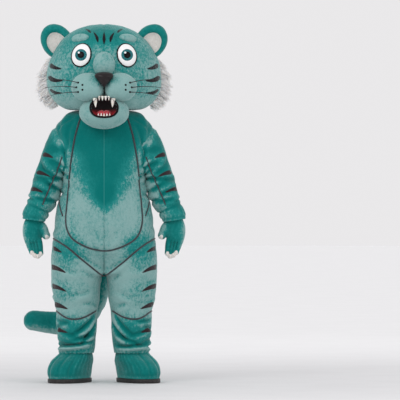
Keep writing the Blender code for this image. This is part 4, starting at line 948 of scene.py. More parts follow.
def suit_relief(facts):
    """How far the folds and the gathers at the hem push each point outward."""
    height, turn, side = facts.T
    half_width, front, back = read(TRUNK, height)
    trunk_arc = np.pi * np.sqrt((half_width**2 + ((front + back) / 2) ** 2) / 2)
    _, half_width, front, back = read(LEG, height)
    radius = np.sqrt((half_width**2 + ((front + back) / 2) ** 2) / 2)
    outer_arc, inner_arc = (np.pi + 2 * LEG_CORNER) * radius, (np.pi - 2 * LEG_CORNER) * radius
    on_leg = height < CROTCH
    girth = np.where(on_leg, outer_arc, trunk_arc)
    around = np.where(turn > 1, outer_arc + (turn - 1) * inner_arc, turn * girth)
    period = np.where(on_leg, outer_arc + inner_arc, 2 * trunk_arc)
    push = np.zeros_like(height)
    for half, creases in ((1, SUIT_CREASES), (-1, right_creases())):
        own = side == half
        there = own | ~on_leg
        signed = np.where(own, around, -around)
        push[there] += creased(creases, height[there], signed[there], girth[there], period[there])
    hem = hump(height - LEG[0].height, 0.020)
    phase = 2 * np.pi * HEM_GATHERS * around / period + 3 * np.sin(7 * turn)
    push += HEM_GATHER_DEPTH * hem * np.cos(phase)
    push *= 1 + 0.35 * on_legs(height)
    collar = eased((height - COLLAR) / 0.02)
    return push * (1 - collar)


def suit_panels(points, faces):
    """Which panel each face belongs to."""
    middle = points[faces].mean(axis=1)
    x, height = np.abs(middle[:, 0]), height_of(middle)
    front = middle[:, 1] < 0

    def across(seam):
        """A seam's distance from the centre line at each face's height."""
        path = smooth_rows(seam, 0.004)
        path = path[np.argsort(path[:, 1])]
        return np.interp(height, path[:, 1], path[:, 0], left=-1)

    def level(seam):
        """A seam's height at each face's distance from the centre line."""
        path = smooth_rows(seam, 0.004)
        path = path[np.argsort(path[:, 0])]
        return np.interp(x, path[:, 0], path[:, 1])

    in_belly = x < across(BELLY_SEAM)
    above_hip = height > level(HIP_SEAM)
    above_knee = height > level(KNEE_SEAM)
    above_yoke = height > level(YOKE_SEAM)
    above_hem = height > level(JACKET_HEM)
    in_seat = x < across(SEAT_SEAM)
    above_hip_back = height > np.where(x > HIP_BACK_SEAM[-1][0], level(HIP_BACK_SEAM[::-1]), 9)
    middle_back = x < across([(BACK_SEAM[0][0], 1.30), *BACK_SEAM])
    names = np.full(len(faces), "leg_back", dtype=object)
    names[~front & ~above_hem & above_hip_back] = "hip_back"
    names[~front & ~above_hem & in_seat] = "seat_panel"
    names[~front & above_hem] = "back_side"
    names[~front & above_hem & middle_back] = "back_centre"
    names[~front & above_yoke] = "back_yoke"
    names[front] = "shin_front"
    names[front & above_knee] = "thigh_front"
    names[front & above_hip] = "front_side"
    names[front & in_belly & (height > BELLY_SEAM[-1][1])] = "belly_panel"
    whole = np.isin(names, ["seat_panel", "back_centre", "back_yoke", "belly_panel"])
    letters = np.where(middle[:, 0] > 0, "_L", "_R")
    return np.where(whole, names, names + letters)


def mirrored(seam):
    """A seam that ends on the centre line, and on through its mirror image."""
    return [*seam, *((-x, height) for x, height in seam[-2::-1])]


def suit_seams(tree):
    """Every seam's path on the suit: the piped ones by name, and the plain ones."""
    piped = {
        "belly_piping": [traced(tree, mirrored(BELLY_SEAM), True)],
        "yoke_piping": [traced(tree, mirrored(YOKE_SEAM[1:]), False)],
        "hem_piping": [traced(tree, mirrored(JACKET_HEM[::-1][1:]), False)],
    }
    for name, seam, front, from_edge in (
        ("seat_piping", SEAT_SEAM, False, True),
        ("hip_piping", HIP_SEAM[1:], True, True),
        ("knee_piping", KNEE_SEAM[1:-1], True, True),
        ("back_piping", BACK_SEAM, False, True),
        ("hip_back_piping", HIP_BACK_SEAM[1:], False, True),
        ("jacket_front_piping", JACKET_FRONT_SEAM, True, False),
    ):
        piped[name] = [traced(tree, seam, front, side, from_edge) for side in (1, -1)]
    plain = [
        traced(tree, [(0.0, 1.38), (0.0, 1.0), (0.0, 0.575)], True),
        traced(tree, [(0.0, 1.38), (0.0, 1.1), (0.0, 0.575)], False),
    ]
    return piped, plain


def tube(paths, normals, radius, uneven=0.0):
    """Round strips along paths that lie on a surface, sunk a little in it."""
    strips = []
    angles = circle(PIPING_SIDES)
    for path, normal in zip(paths, normals, strict=True):
        across = unit_rows(np.cross(unit_rows(np.gradient(path, axis=0)), normal))
        place = np.arange(len(path))
        size = radius * (1 + uneven * np.sin(place * 1.7) * np.cos(place * 0.61))
        size[0], size[-1] = 0.4 * size[0], 0.4 * size[-1]
        ring = across[:, None] * np.cos(angles)[None, :, None]
        ring = ring + normal[:, None] * (np.sin(angles) * PIPING_FLATNESS)[None, :, None]
        lift = normal[:, None] * (radius * PIPING_LIFT)
        strips.append(ring_loft(path[:, None] + ring * size[:, None, None] + lift))
    return joined(strips)


def loop_across(path, normals):
    """Directions across a closed path that lies on a surface."""
    return np.cross(unit_rows(np.roll(path, -1, axis=0) - np.roll(path, 1, axis=0)), normals)


def loop_tube(path, across, normals, radius):
    """A round strip along a closed path."""
    rings = [path + (across * math.cos(a) + normals * math.sin(a)) * radius for a in circle(LOOP_SIDES)]
    points = np.stack(rings, 1).reshape(-1, 3)
    return points, grid_faces(len(path) + 1, LOOP_SIDES, True) % len(points)


LOOK_OUT = 0.03  # how far above a path the surface is looked for


def laid(tree, path, passes):
    """A path moved onto a surface, evened out along its length, and the surface's normals there."""
    hits = []
    for place in path:
        nearest = tree.find_nearest(Vector(place))
        outer = tree.ray_cast(Vector(place) + nearest[1] * LOOK_OUT, -nearest[1], 2 * LOOK_OUT)
        hits.append(nearest if outer[0] is None else outer)
    places = np.array([hit[0] for hit in hits])
    normals = np.array([hit[1] for hit in hits])
    for _ in range(passes):
        normals[1:-1] = (normals[:-2] + normals[1:-1] * 2 + normals[2:]) / 4
        places[1:-1] = (places[:-2] + places[1:-1] * 2 + places[2:]) / 4
    return places, unit_rows(normals)


def piping(name, paths, tree, look, radius=PIPING_RADIUS, passes=PIPING_PASSES):
    places, normals = zip(*(laid(tree, path, passes) for path in paths), strict=True)
    piece(name, *tube(places, normals, radius, uneven=0.10), look)


def sleeve_base(side):
    """A sleeve's plain form: points, faces and each point's distance along it and turn round it."""
    rows = smooth_rows(SLEEVE, CELL, [0, 2])
    columns = SLEEVE_COLUMNS
    tangent = unit_rows(np.gradient(rows[:, [0, 2]], axis=0))
    upright = eased((CUFF_HEIGHT - rows[:, 2]) / 0.060)[:, None]
    tangent = tangent * (1 - upright) + CUFF_DIRECTION * upright
    angle = circle(columns)
    x = rows[:, None, 0] - tangent[:, None, 1] * np.cos(angle) * rows[:, None, 3]
    z = rows[:, None, 2] + tangent[:, None, 0] * np.cos(angle) * rows[:, None, 3]
    y = rows[:, None, 1] - np.sin(angle) * rows[:, None, 4]
    points = np.stack([side * x, y, up(z)], -1).reshape(-1, 3)
    along = np.repeat(np.arange(len(rows)) * CELL, columns)
    turn = np.tile(angle / (2 * np.pi), len(rows))
    girth = np.repeat(2 * np.pi * np.sqrt((rows[:, 3] ** 2 + rows[:, 4] ** 2) / 2), columns)
    faces = grid_faces(len(rows), columns, True)
    return points, (faces if side < 0 else faces[:, ::-1]), along, turn, girth


Suit = namedtuple("Suit", "points faces facts panels piped relief armhole near_arms")
SuitSleeve = namedtuple("SuitSleeve", "points faces push outside seam")


def suit_form():
    """The suit with its folds, seams and armholes."""
    base, faces, facts = suit_base()
    piped, plain = suit_seams(tree_of(base, faces))
    seams = [path for paths in piped.values() for path in paths] + plain
    gap = nearest_distance(base, np.concatenate(seams))
    relief = suit_relief(facts) * (1 - 0.55 * hump(gap, 0.014))
    uneven = unevenness(base, (0.0026, 9, 1), (0.0011, 34, 2))
    pucker = 0.0010 * hump(gap, 0.016) * rough(base, 70, 3, 2)
    groove = SEAM_PUFF * hump(gap - SEAM_PUFF_OFFSET, SEAM_PUFF_WIDTH) - SEAM_DEPTH * hump(gap, SEAM_WIDTH)
    fillet, armhole = np.zeros(len(base)), np.full(len(base), UNMARKED)
    near_arms = np.flatnonzero((base[:, 2] > up(ARMHOLE_BOTTOM)) & (np.abs(base[:, 0]) > ARMHOLE_INNER))
    for side in (1, -1):
        sleeve_points, sleeve_faces, *_ = sleeve_base(side)
        away = reach(base[near_arms], tree_of(sleeve_points, sleeve_faces))
        swell = ARMHOLE_FILLET * hump(away, ARMHOLE_FILLET_WIDTH)
        fillet[near_arms] = np.maximum(fillet[near_arms], swell)
        armhole[near_arms] = np.minimum(armhole[near_arms], np.abs(away))
    push = relief + uneven + pucker + groove + fillet
    points = base + vertex_normals(base, faces) * push[:, None]
    return Suit(points, faces, facts, suit_panels(base, faces), piped, relief, armhole, near_arms)


def suit_sleeve(side, suit_tree):
    """A sleeve with its folds, cuff, armhole and seams."""
    own, faces, along, turn, girth = sleeve_base(side)
    shift = 0.0 if side > 0 else SLEEVE_CREASE_SHIFT
    creases = [
        crease._replace(
            height=crease.height + shift * math.sin(2.7 * i),
            depth=crease.depth * (1 + 0.2 * side * math.sin(i)),
        )
        for i, crease in enumerate(SLEEVE_CREASES)
    ]
    push = SLEEVE_CREASE_GAIN * creased(creases, along, turn * girth, girth, girth)
    end = along.max() - along
    phase = 2 * np.pi * CUFF_GATHERS * turn + 2 * np.sin(5 * turn + side)
    push += CUFF_GATHER_DEPTH * hump(end - 0.034, 0.016) * np.cos(phase)
    push -= 0.006 * hump(end - 0.066, 0.007) + 0.0040 * hump(end - 0.014, 0.004)
    push += unevenness(own, (0.0022, 12, 4 + side), (0.0010, 40, 7 + side))
    outside = reach(own, suit_tree)
    push += ARMHOLE_FILLET * hump(outside, ARMHOLE_FILLET_WIDTH) - 0.004 * hump(outside, 0.007)
    own_tree = tree_of(own, faces)
    seam = [traced(own_tree, SLEEVE_SEAM, front, side, from_edge=False) for front in (True, False)]
    push -= 0.0030 * hump(nearest_distance(own, np.concatenate(seam)), SEAM_WIDTH)
    return SuitSleeve(own + vertex_normals(own, faces) * push[:, None], faces, push, outside, seam)


def in_sleeves(suit, sleeves):
    """Which of the suit's points lie deep inside a sleeve."""
    inside = np.zeros(len(suit.points), bool)
    for sleeve in sleeves.values():
        sleeve_tree = tree_of(sleeve.points, sleeve.faces)
        for i in suit.near_arms[suit.points[suit.near_arms, 2] < up(SLEEVE_TOP)]:
            place, normal, _, _ = sleeve_tree.find_nearest(Vector(suit.points[i]))
            deep = (Vector(suit.points[i]) - place).dot(normal) < -HIDDEN_DEPTH
            inside[i] |= deep and abs(place.x) > HIDDEN_OUTER
    return inside


def armhole_shade(points, distance):
    shade = ARMHOLE_SHADE * eased((up(ARMHOLE_SHADE_TOP) - points[:, 2]) / 0.08)
    return shade * hump(distance, ARMHOLE_SHADE_WIDTH)


def cloth_panel(name, points, faces, chosen, look, fields):
    """A sheet made of the chosen faces of a form."""
    own, cells, used = part_of(points, faces, chosen)
    fields = {key: values[used] for key, values in fields.items()}
    made = piece(f"{name}_cloth", own, cells, look, name, fields, CLOTH)


def body_suit(looks):
    suit = suit_form()
    points, faces = suit.points, suit.faces
    tree = tree_of(points, faces)
    sleeves = {letter: suit_sleeve(side, tree) for side, letter in SIDES}
    everything = tree_of(*joined([(form.points, form.faces) for form in (suit, *sleeves.values())]))
    height = suit.facts[:, 0]
    fields = {
        "pale": suit_nap_and_fold_shading(points, suit.relief) - armhole_shade(points, suit.armhole),
        "stripe": stripe_field(points, everything, BODY_STRIPES),
        "seam": np.where((height > CROTCH + 0.004) & (height < COLLAR), np.abs(points[:, 0]), UNMARKED),
    }
    visible = ~in_sleeves(suit, sleeves)[faces].all(axis=1)
    for name in sorted(set(suit.panels)):
        cloth_panel(name, points, faces, (suit.panels == name) & visible, looks["body"], fields)

    for letter, sleeve in sleeves.items():
        points, faces = sleeve.points, sleeve.faces
        front = points[faces].mean(axis=1)[:, 1] < SLEEVE_SPLIT
        shown = sleeve.outside[faces].max(axis=1) > -SLEEVE_SUNK
        fields = {
            "pale": sleeve_nap_and_fold_shading(points, sleeve.push) - armhole_shade(points, sleeve.outside),
            "stripe": stripe_field(points, everything, BODY_STRIPES),
            "seam": np.full(len(points), UNMARKED),
        }
        for half, chosen in (("front", front), ("back", ~front)):
            name = f"sleeve_{half}_{letter}"
            cloth_panel(name, points, faces, chosen & shown, looks["body"], fields)
        # Only the seam over the front is piped
        piping(
            f"sleeve_piping_{letter}", sleeve.seam[:1], tree_of(points, faces), looks["piping"],
            SLEEVE_PIPING_RADIUS, SLEEVE_PIPING_PASSES,
        )  # fmt: skip

    for name, paths in suit.piped.items():
        piping(name, paths, tree, looks["piping"])
    return tree


def sleeve_nap_and_fold_shading(points, push):
    x, height = np.abs(points[:, 0]), height_of(points)
    inner = eased((0.31 - (x + (height - 1.0) * 0.35)) / 0.08) * eased((SLEEVE_TOP - height) / 0.10)
    behind = eased((points[:, 1] - 0.01) / 0.06)
    low = eased((1.10 - height) / 0.18)
    pale = 0.10 + 0.45 * inner + low * (0.22 + 0.34 * behind) + 0.16 * rough(points, 13, 53)
    # painted light on the swells of the folds and cuff, painted shade in the creases, seam and armhole
    return pale + SLEEVE_PAINTED_SHADING_ON_RELIEF * push


def tail(looks, suit_tree):
    rows = smooth_rows(TAIL, CELL, [0, 1, 2])
    last = rows[-1]
    along = rows[-1, :3] - rows[-2, :3]
    along /= np.linalg.norm(along)
    cap = np.linspace(0, np.pi / 2, 12)[1:]
    cap_centres = last[:3] + along * (last[3] * np.sin(cap))[:, None]
    extra = np.column_stack([cap_centres, last[3] * np.maximum(np.cos(cap), 0.02)])
    rows = np.concatenate([rows, extra])
    sides = TAIL_COLUMNS
    centres = rows[:, :3].copy()
    centres[:, 2] -= SHOULDER_HEIGHT
    tangent = unit_rows(np.gradient(centres, axis=0))
    across = np.array([1.0, 0.0, 0.0])
    angle = circle(sides)[:, None]
    rings = []
    for centre, direction, radius in zip(centres, tangent, rows[:, 3], strict=True):
        across = across - direction * across.dot(direction)
        across /= np.linalg.norm(across)
        other = np.cross(direction, across)
        rings.append(centre + (across * np.cos(angle) + other * np.sin(angle)) * radius)
    points = np.concatenate(rings)
    faces = grid_faces(len(rows), sides, True)[:, ::-1]
    distance = np.repeat(np.arange(len(rows)) * CELL, sides)
    turn = np.tile(np.arange(sides) / sides, len(rows))
    girth = np.full(len(points), TAIL_GIRTH)
    normals = vertex_normals(points, faces)
    relief = creased(TAIL_CREASES, distance, turn * girth, girth, girth)
    root = reach(points, suit_tree)
    push = relief + unevenness(points, (0.0022, 14, 11), (0.0010, 45, 12))
    push -= 0.004 * hump(root, 0.010)
    points = points + normals * push[:, None]
    shown = root[faces].max(axis=1) > -TAIL_SUNK
    pale = 0.12 + 0.75 * eased((-normals[:, 2] + 0.05) / 0.9) + 0.55 * eased(normals[:, 0])
    # painted light on the swells of the creases and painted shade in their troughs
    pale += PAINTED_SHADING_ON_RELIEF * relief
    points, cells, used = part_of(points, faces, shown)
    cells = cells.tolist()
    end = len(points) - sides
    cells.append(list(range(end, end + sides)))
    made = piece("tail_plush", points, cells, looks["plain"], "tail", {"pale": pale[used]})


# Shapes of the head


def ball(cells):
    """A unit ball of four-sided faces, cells along each edge of its six sides."""
    steps = np.tan(np.linspace(-1, 1, cells + 1) * np.pi / 4)
    u, v = np.meshgrid(steps, steps, indexing="ij")
    w = np.ones_like(u)
    points, faces = [], []
    for i, axes in enumerate(((u, v, w), (v, u, -w), (w, u, v), (-w, v, u), (v, w, u), (u, -w, v))):
        points.append(np.stack(axes, -1).reshape(-1, 3))
        faces.append(grid_faces(cells + 1, cells + 1, False) + i * (cells + 1) ** 2)
    points, faces = np.concatenate(points), np.concatenate(faces)
    points /= np.linalg.norm(points, axis=1)[:, None]
    _, first, where = np.unique(np.round(points, 6), axis=0, return_index=True, return_inverse=True)
    return points[first], where.ravel()[faces]


def head_points(height, angle, grow=0.0):
    half_width, front, back = read(HEAD, height)
    depth = np.where(np.cos(angle) > 0, front, back) + grow
    return np.stack([(half_width + grow) * np.sin(angle), -depth * np.cos(angle), up(height)], -1)


def head_frame(x, height, rise, side):
    """A frame on the head's surface: -Y points out of it and Z up it."""
    angle = math.asin(x / read(HEAD, height)[0])
    step = 0.01
    here = Vector(head_points(height, angle))
    across = Vector(head_points(height, angle + step) - head_points(height, angle - step))
    upward = Vector(head_points(height + step, angle) - head_points(height - step, angle))
    out = across.cross(upward).normalized()
    across.normalize()
    upward = out.cross(across).normalized()
    centre = here + out * rise
    if side < 0:
        centre.x, out.x, upward.x = -centre.x, -out.x, -upward.x
        across = upward.cross(out)
    return Matrix.Translation(centre) @ Matrix((across, -out, upward)).transposed().to_4x4()


def moved(matrix, points):
    matrix = np.array(matrix)
    return points @ matrix[:3, :3].T + matrix[:3, 3]


def pad_frame(pad, side):
    roll = Matrix.Rotation(math.radians(-side * pad.roll), 4, "Y")
    return head_frame(pad.x, pad.height, pad.rise, side) @ roll


def pad_points(pad, side, unit, grow=0.0):
    sizes = np.array([pad.half_width, pad.half_depth, pad.half_height]) + grow
    return moved(pad_frame(pad, side), unit * sizes)


def ball_points(shape, unit, grow=0.0):
    sizes = np.array([shape.half_width, shape.half_depth, shape.half_height]) + grow
    return unit * sizes + np.array([shape.x, shape.y, up(shape.height)])


def disc_on(tree, x, height, radius, lift, rings=10, sides=40):
    """A low dome that lies on a surface, round when seen from the front, its edge sunk in it."""
    points = []
    for r in np.linspace(0.03, 1, rings):
        ring = []
        for a in np.linspace(0, 2 * np.pi, sides, endpoint=False):
            rise = radius * r * math.sin(a)
            start = Vector((x + radius * r * math.cos(a), -1.0, up(height + rise)))
            place, normal, _, _ = tree.ray_cast(start, Vector((0, 1, 0)))
            ring.append(np.array(place + normal * (lift * math.sqrt(1.02 - r * r) - 0.0004)))
        points.append(np.array(ring))
    faces = grid_faces(rings, sides, True).tolist()
    faces.append(list(range(sides)))
    return np.concatenate(points), faces


HAIR_WAVE = 0.10
HAIR_SHARES = np.array([0.0, 0.35, 0.70, 1.0])
HAIR_WIDTHS = np.array([0.8, 1.0, 0.7, 0.08])


def hair(roots, tips, droop, width, seed):
    """Fine tapering ribbons from roots to tips, bent by droop along Z."""
    rng = np.random.default_rng(seed)
    shares = HAIR_SHARES
    count = len(roots)
    along = tips - roots
    side = unit_rows(np.cross(along, rng.normal(size=(count, 3))))
    bend = np.cross(along, side) * HAIR_WAVE * rng.normal(size=(count, 1))
    centre = roots[:, None] + along[:, None] * shares[None, :, None]
    centre = centre + bend[:, None] * (shares * (1 - shares) * 4)[None, :, None]
    centre[..., 2] -= droop * shares[None] ** 2
    widths = width * HAIR_WIDTHS
    left = centre - side[:, None] * widths[None, :, None]
    right = centre + side[:, None] * widths[None, :, None]
    points = np.stack([left, right], 2).reshape(-1, 3)
    first = np.arange(count)[:, None] * 2 * len(shares) + np.arange(len(shares) - 1)[None] * 2
    return points, np.stack([first, first + 1, first + 3, first + 2], -1).reshape(-1, 4)


HEAD_SEAM_TURNS = (0.0, 90.0, 151.0, 180.0)  # degrees from the front centre
HEAD_PATCHES_FRONT = [Patch(*row) for row in (
    (0.0, 1.790, 0.150, 0.070, -0.45), (0.255, 1.560, 0.060, 0.110, 0.18), (0.0, 1.440, 0.260, 0.045, 0.35),
)]  # fmt: skip
HEAD_PATCHES_BACK = [Patch(*row) for row in (
    (0.0, 1.690, 0.210, 0.165, -0.62), (0.290, 1.600, 0.080, 0.160, 0.30), (0.0, 1.440, 0.320, 0.070, 0.50),
)]  # fmt: skip


def skull(looks):
    """The foam head: two halves of its face and two of its back."""
    rows = smooth_rows(HEAD, HEAD_CELL, [0, 1])
    rows[-1, 1:] = np.maximum(rows[-1, 1:], 0.002)
    columns = HEAD_COLUMNS
    height, angle = np.meshgrid(rows[:, 0], circle(columns), indexing="ij")
    depth = np.where(np.cos(angle) > 0, rows[:, 2][:, None], rows[:, 3][:, None])
    across = rows[:, 1][:, None] * np.sin(angle)
    base = np.stack([across, -depth * np.cos(angle), up(height)], -1).reshape(-1, 3)
    faces = grid_faces(len(rows), columns, True)[:, ::-1]
    normals = vertex_normals(base, faces)
    plain_tree = tree_of(base, faces)
    turn = np.abs(np.degrees((angle.ravel() + np.pi) % (2 * np.pi) - np.pi))
    radius = np.hypot(base[:, 0], base[:, 1])
    gap = np.min([np.abs(np.radians(turn - seam)) * radius for seam in HEAD_SEAM_TURNS], axis=0)
    push = SEAM_PUFF * 0.6 * hump(gap - SEAM_PUFF_OFFSET, SEAM_PUFF_WIDTH) - 0.0028 * hump(gap, 0.006)
    push *= eased(radius / 0.03)
    uneven = unevenness(base, (0.0022, 9, 21), (0.0009, 40, 22))
    points = base + normals * (push + uneven * eased(radius / 0.05))[:, None]
    # the relief gives the seam grooves painted shade and their puffs painted light
    pale = nap_patches_and_relief_shading(base, HEAD_PATCHES_FRONT, HEAD_PATCHES_BACK, push) + 0.10
    stripes = stripe_field(base, plain_tree, FACE_STRIPES)
    middle = base[faces].mean(axis=1)
    front = middle[:, 1] < HEAD_SPLIT
    cap = [list(range((len(rows) - 1) * columns, len(rows) * columns))]
    for half, half_faces in (("face", front), ("back", ~front)):
        for side, letter in SIDES:
            own, cells, used = part_of(points, faces, half_faces & (middle[:, 0] * side > 0))
            fields = {"pale": pale[used], "stripe": stripes[used], "seam": np.full(len(used), UNMARKED)}
            name = f"head_{half}_{letter}"
            made = piece(f"{name}_plush", own, cells, looks["head"], name, fields, FOAM)
    return tree_of(points, faces.tolist() + cap)


def soft_pad(name, points, faces, look, pale, tree):
    """A padded lump on the head, without the faces that lie deep inside it."""
    own, cells, used = part_of(points, faces, standing_out(points, faces, tree, SUNK))
    made = piece(f"{name}_plush", own, cells, look, name, {"pale": pale[used]})


def muzzle_points(side, unit):
    """A lobe of the muzzle, full up to the seam between the two."""
    unit = power(unit, 0.94)
    inward = eased(-unit[:, 0] * side / 0.6)
    rim = np.clip(np.hypot(unit[:, 0], unit[:, 2]), 0, 1)
    flat = (1 - 0.5 * inward) * unit[:, 0]
    depth = np.sqrt(np.clip(1 - flat**2 - unit[:, 2] ** 2, 0, 1)) * np.sqrt(np.clip(1 - rim**12, 0, 1))
    shaped = unit.copy()
    shaped[:, 1] = np.where(unit[:, 1] < 0, -np.maximum(depth, -unit[:, 1]), unit[:, 1])
    shaped[:, 2] *= 1 + 0.30 * eased((-unit[:, 0] * side - 0.40) / 0.55)
    points = pad_points(MUZZLE, side, shaped)
    points[:, 1] += 0.010 * hump(points[:, 0], 0.007)
    return points + 0.0018 * rough(points, 16, 31 + side)[:, None] * unit


def muzzle(looks, skull_tree, unit, cells):
    """The two lobes, and a tree of both to set the whiskers on."""
    lobes = []
    for side, letter in SIDES:
        points = muzzle_points(side, unit)
        nose_gap = np.hypot(points[:, 0] / 0.070, (points[:, 2] - up(NOSE.height)) / 0.045)
        pale = 1.00 - 0.45 * np.exp(-(nose_gap**4)) + 0.10 * rough(points, 20, 33)
        own_side = (points[cells][:, :, 0] * side).max(axis=1) > -0.001
        shown = standing_out(points, cells, skull_tree, SUNK) & own_side
        own, kept, used = part_of(points, cells, shown)
        name = f"muzzle_{letter}"
        made = piece(f"{name}_plush", own, kept, looks["pads"], name, {"pale": pale[used]})
        lobes.append((own, kept))
    return tree_of(*joined(lobes))


def nose(looks, unit, cells):
    """A rounded triangle with its nostrils pressed in."""
    points = pad_points(NOSE, 1, power(unit, 0.92))
    down = (up(NOSE.height) + NOSE.half_height - points[:, 2]) / (2 * NOSE.half_height)
    points[:, 0] *= (1 - 0.72 * np.clip(down, 0, 1) ** 1.35) * 0.98
    points[:, 2] -= 0.010 * hump(points[:, 0], 0.022) * eased((down - 0.4) / 0.6)
    nostril = np.hypot((np.abs(points[:, 0]) - 0.022) / 0.011, (points[:, 2] - up(1.552)) / 0.009)
    points[:, 1] += 0.008 * np.exp(-(nostril**2)) * (unit[:, 1] < 0.2)
    piece("nose_gloss", points, cells, looks["nose"], "nose")


def face(looks, skull_tree):
    unit, cells = ball(44)
    lobe_tree = muzzle(looks, skull_tree, unit, cells)
    points = pad_points(NOSE_BRIDGE, 1, unit)
    soft_pad("nose_bridge", points, cells, looks["pads"], 0.85 + 0.10 * rough(points, 20, 34), skull_tree)
    nose(looks, unit, cells)
    for side, letter in SIDES:
        points = pad_points(BROW, side, power(unit, 0.95), 0.002)
        pale = 0.85 + 0.15 * rough(points, 30, 35)
        soft_pad(f"brow_{letter}", points, cells, looks["pads"], pale, skull_tree)
        eye(side, letter, looks, skull_tree)
        ear(side, letter, looks)
        cheek_fur(side, letter, looks)
        fang(side, letter, looks)
        whiskers(side, letter, looks, lobe_tree)
    mouth(looks, skull_tree, lobe_tree)


# What lies on each eye: name, look, place from the eye's middle, radius and lift
EYE_DISCS = [
    ("iris", "iris", 0.0, 0.0, 0.0310, 0.0022),
    ("pupil", "pupil", 0.0, 0.0, 0.0190, 0.0040),
    ("glint", "eye", -0.010, 0.011, 0.0060, 0.0058),
]


def eye(side, letter, looks, skull_tree):
    unit, cells = ball(40)
    points = pad_points(EYE, side, unit)
    own, kept, _ = part_of(points, cells, standing_out(points, cells, skull_tree, 0.010))
    piece(f"eye_{letter}_white", own, kept, looks["eye"], f"eye_{letter}")
    eye_tree = tree_of(own, kept)
    for name, look, x, height, radius, lift in EYE_DISCS:
        dome, faces = disc_on(eye_tree, side * EYE.x + x, EYE.height + height, radius, lift)
        piece(f"{name}_{letter}", dome, faces, looks[look])

    # The dark line round the eye follows the edge where the dome meets the face
    place = pad_frame(EYE, side)
    path, normals = [], []
    for turn in circle(96):
        for lean in np.linspace(math.pi / 2, 0.2, 60):
            rim = Vector((math.sin(lean) * math.cos(turn), -math.cos(lean), math.sin(lean) * math.sin(turn)))
            spot = place @ Vector((rim.x * EYE.half_width, rim.y * EYE.half_depth, rim.z * EYE.half_height))
            nearest, normal, _, _ = skull_tree.find_nearest(spot)
            if (spot - nearest).dot(normal) > 0.0015:
                break
        path.append(np.array(spot + normal * 0.001))
        normals.append(np.array(normal))
    path, normals = np.array(path), np.array(normals)
    line = loop_tube(path, loop_across(path, normals), normals * 0.7, 0.0040)
    piece(f"eye_line_{letter}", *line, looks["line"])


# From the middle of the bowl to the back: share of the way, half width, half height, depth and drop
EAR_PROFILE = [
    (0.00, 0.001, 0.001, -0.011, 0.012), (0.14, 0.024, 0.031, -0.012, 0.012),
    (0.26, 0.041, 0.052, -0.019, 0.012), (0.32, 0.049, 0.062, -0.030, 0.011),
    (0.40, 0.057, 0.071, -0.038, 0.008), (0.48, 0.069, 0.084, -0.036, 0.004),
    (0.58, 0.079, 0.096, -0.020, 0.001), (0.66, 0.080, 0.098, 0.000, 0.000),
    (0.75, 0.075, 0.092, 0.019, 0.000), (0.87, 0.052, 0.066, 0.031, 0.000),
    (1.00, 0.001, 0.001, 0.036, 0.000),
]  # fmt: skip
EAR_EDGE = 0.32  # the share of the way where the pale bowl ends
EAR_BOWL_ROWS = 18


def ear(side, letter, looks):
    shares = np.concatenate([np.linspace(0, EAR_EDGE, EAR_BOWL_ROWS), np.linspace(EAR_EDGE, 1, 44)[1:]])
    half_width, half_height, depth, drop = read(EAR_PROFILE, shares)
    angle = circle(84)
    x = half_width[:, None] * np.cos(angle)
    z = half_height[:, None] * np.sin(angle) + 0.003
    y = np.repeat(depth[:, None], len(angle), axis=1)
    centre = Matrix.Translation((EAR_CENTRE.x * side, EAR_CENTRE.y, up(EAR_CENTRE.z)))
    place = centre @ Matrix.Rotation(side * EAR_LEAN, 4, "Y")
    points = moved(place, np.stack([x, y, z], -1).reshape(-1, 3))
    points[:, 2] -= np.repeat(drop, len(angle))
    faces = grid_faces(len(shares), len(angle), True)
    points += 0.0018 * rough(points, 20, 41)[:, None] * vertex_normals(points, faces)
    share = np.repeat(shares, len(angle))
    back_pale = 0.22 + 0.25 * eased((share - 0.75) / 0.2) + 0.10 * rough(points, 20, 43)
    bowl_end = (EAR_BOWL_ROWS - 1) * len(angle)
    for part, look, chosen, pale, fill in (
        ("ear_inner", "cream", faces[:bowl_end], np.full(len(points), 0.5), 0.8),
        ("ear", "plain", faces[bowl_end:], back_pale, 0.9),
    ):
        name = f"{part}_{letter}"
        own, kept, used = part_of(points, chosen, slice(None))
        piece(f"{name}_plush", own, kept, looks[look], name, {"pale": pale[used]})


FUR_ANGLE = math.radians(100)
LOCKS = 44
HAIRS_IN_LOCK = 64
# Height, backward, rise and length of locks, read at evenly spaced heights
FUR_LOCKS = [
    (1.440, 0.40, -0.80, 0.050), (1.452, 0.40, -0.75, 0.056), (1.476, 0.26, -0.64, 0.064),
    (1.501, 0.16, -0.76, 0.069), (1.525, 0.33, -0.54, 0.075), (1.550, 0.38, -0.59, 0.073),
    (1.575, 0.21, -0.58, 0.075), (1.599, 0.19, -0.39, 0.067), (1.623, 0.37, -0.53, 0.066),
    (1.648, 0.34, -0.37, 0.053), (1.662, 0.30, -0.20, 0.040),
]  # fmt: skip


def cheek_fur(side, letter, looks):
    rng = np.random.default_rng(60 + side)
    roots, tips = [], []
    heights = np.linspace(FUR_LOCKS[0][0], FUR_LOCKS[-1][0], LOCKS)
    backward, rise, length = read(FUR_LOCKS, heights)
    for i in range(LOCKS):
        turn = FUR_ANGLE + rng.uniform(-0.085, 0.075)
        root = head_points(heights[i], turn, -0.002)
        out = np.array([root[0], 0.5 * root[1], 0.0])
        out /= np.linalg.norm(out)
        along = out + np.array([0, backward[i] + 1.4 * (turn - FUR_ANGLE), rise[i] + rng.normal(0, 0.12)])
        along /= np.linalg.norm(along)
        tip = root + along * length[i] * rng.uniform(0.85, 1.06)
        for _ in range(HAIRS_IN_LOCK):
            spread = rng.normal(0, 1, 3)
            roots.append(root + spread * np.array([0.002, 0.011, 0.009]))
            longer = along * rng.uniform(-0.022, 0.004)
            tips.append(tip + spread * 0.0035 + longer + rng.normal(0, 0.0025, 3))
    roots, tips = np.array(roots), np.array(tips)
    roots[:, 0] *= side
    tips[:, 0] *= side
    points, faces = hair(roots, tips, 0.006, 0.0011, 62 + side)
    piece(f"cheek_fur_{letter}_strands", points, faces, looks["fur"], f"cheek_fur_{letter}")


FANG_TIP = 0.0006


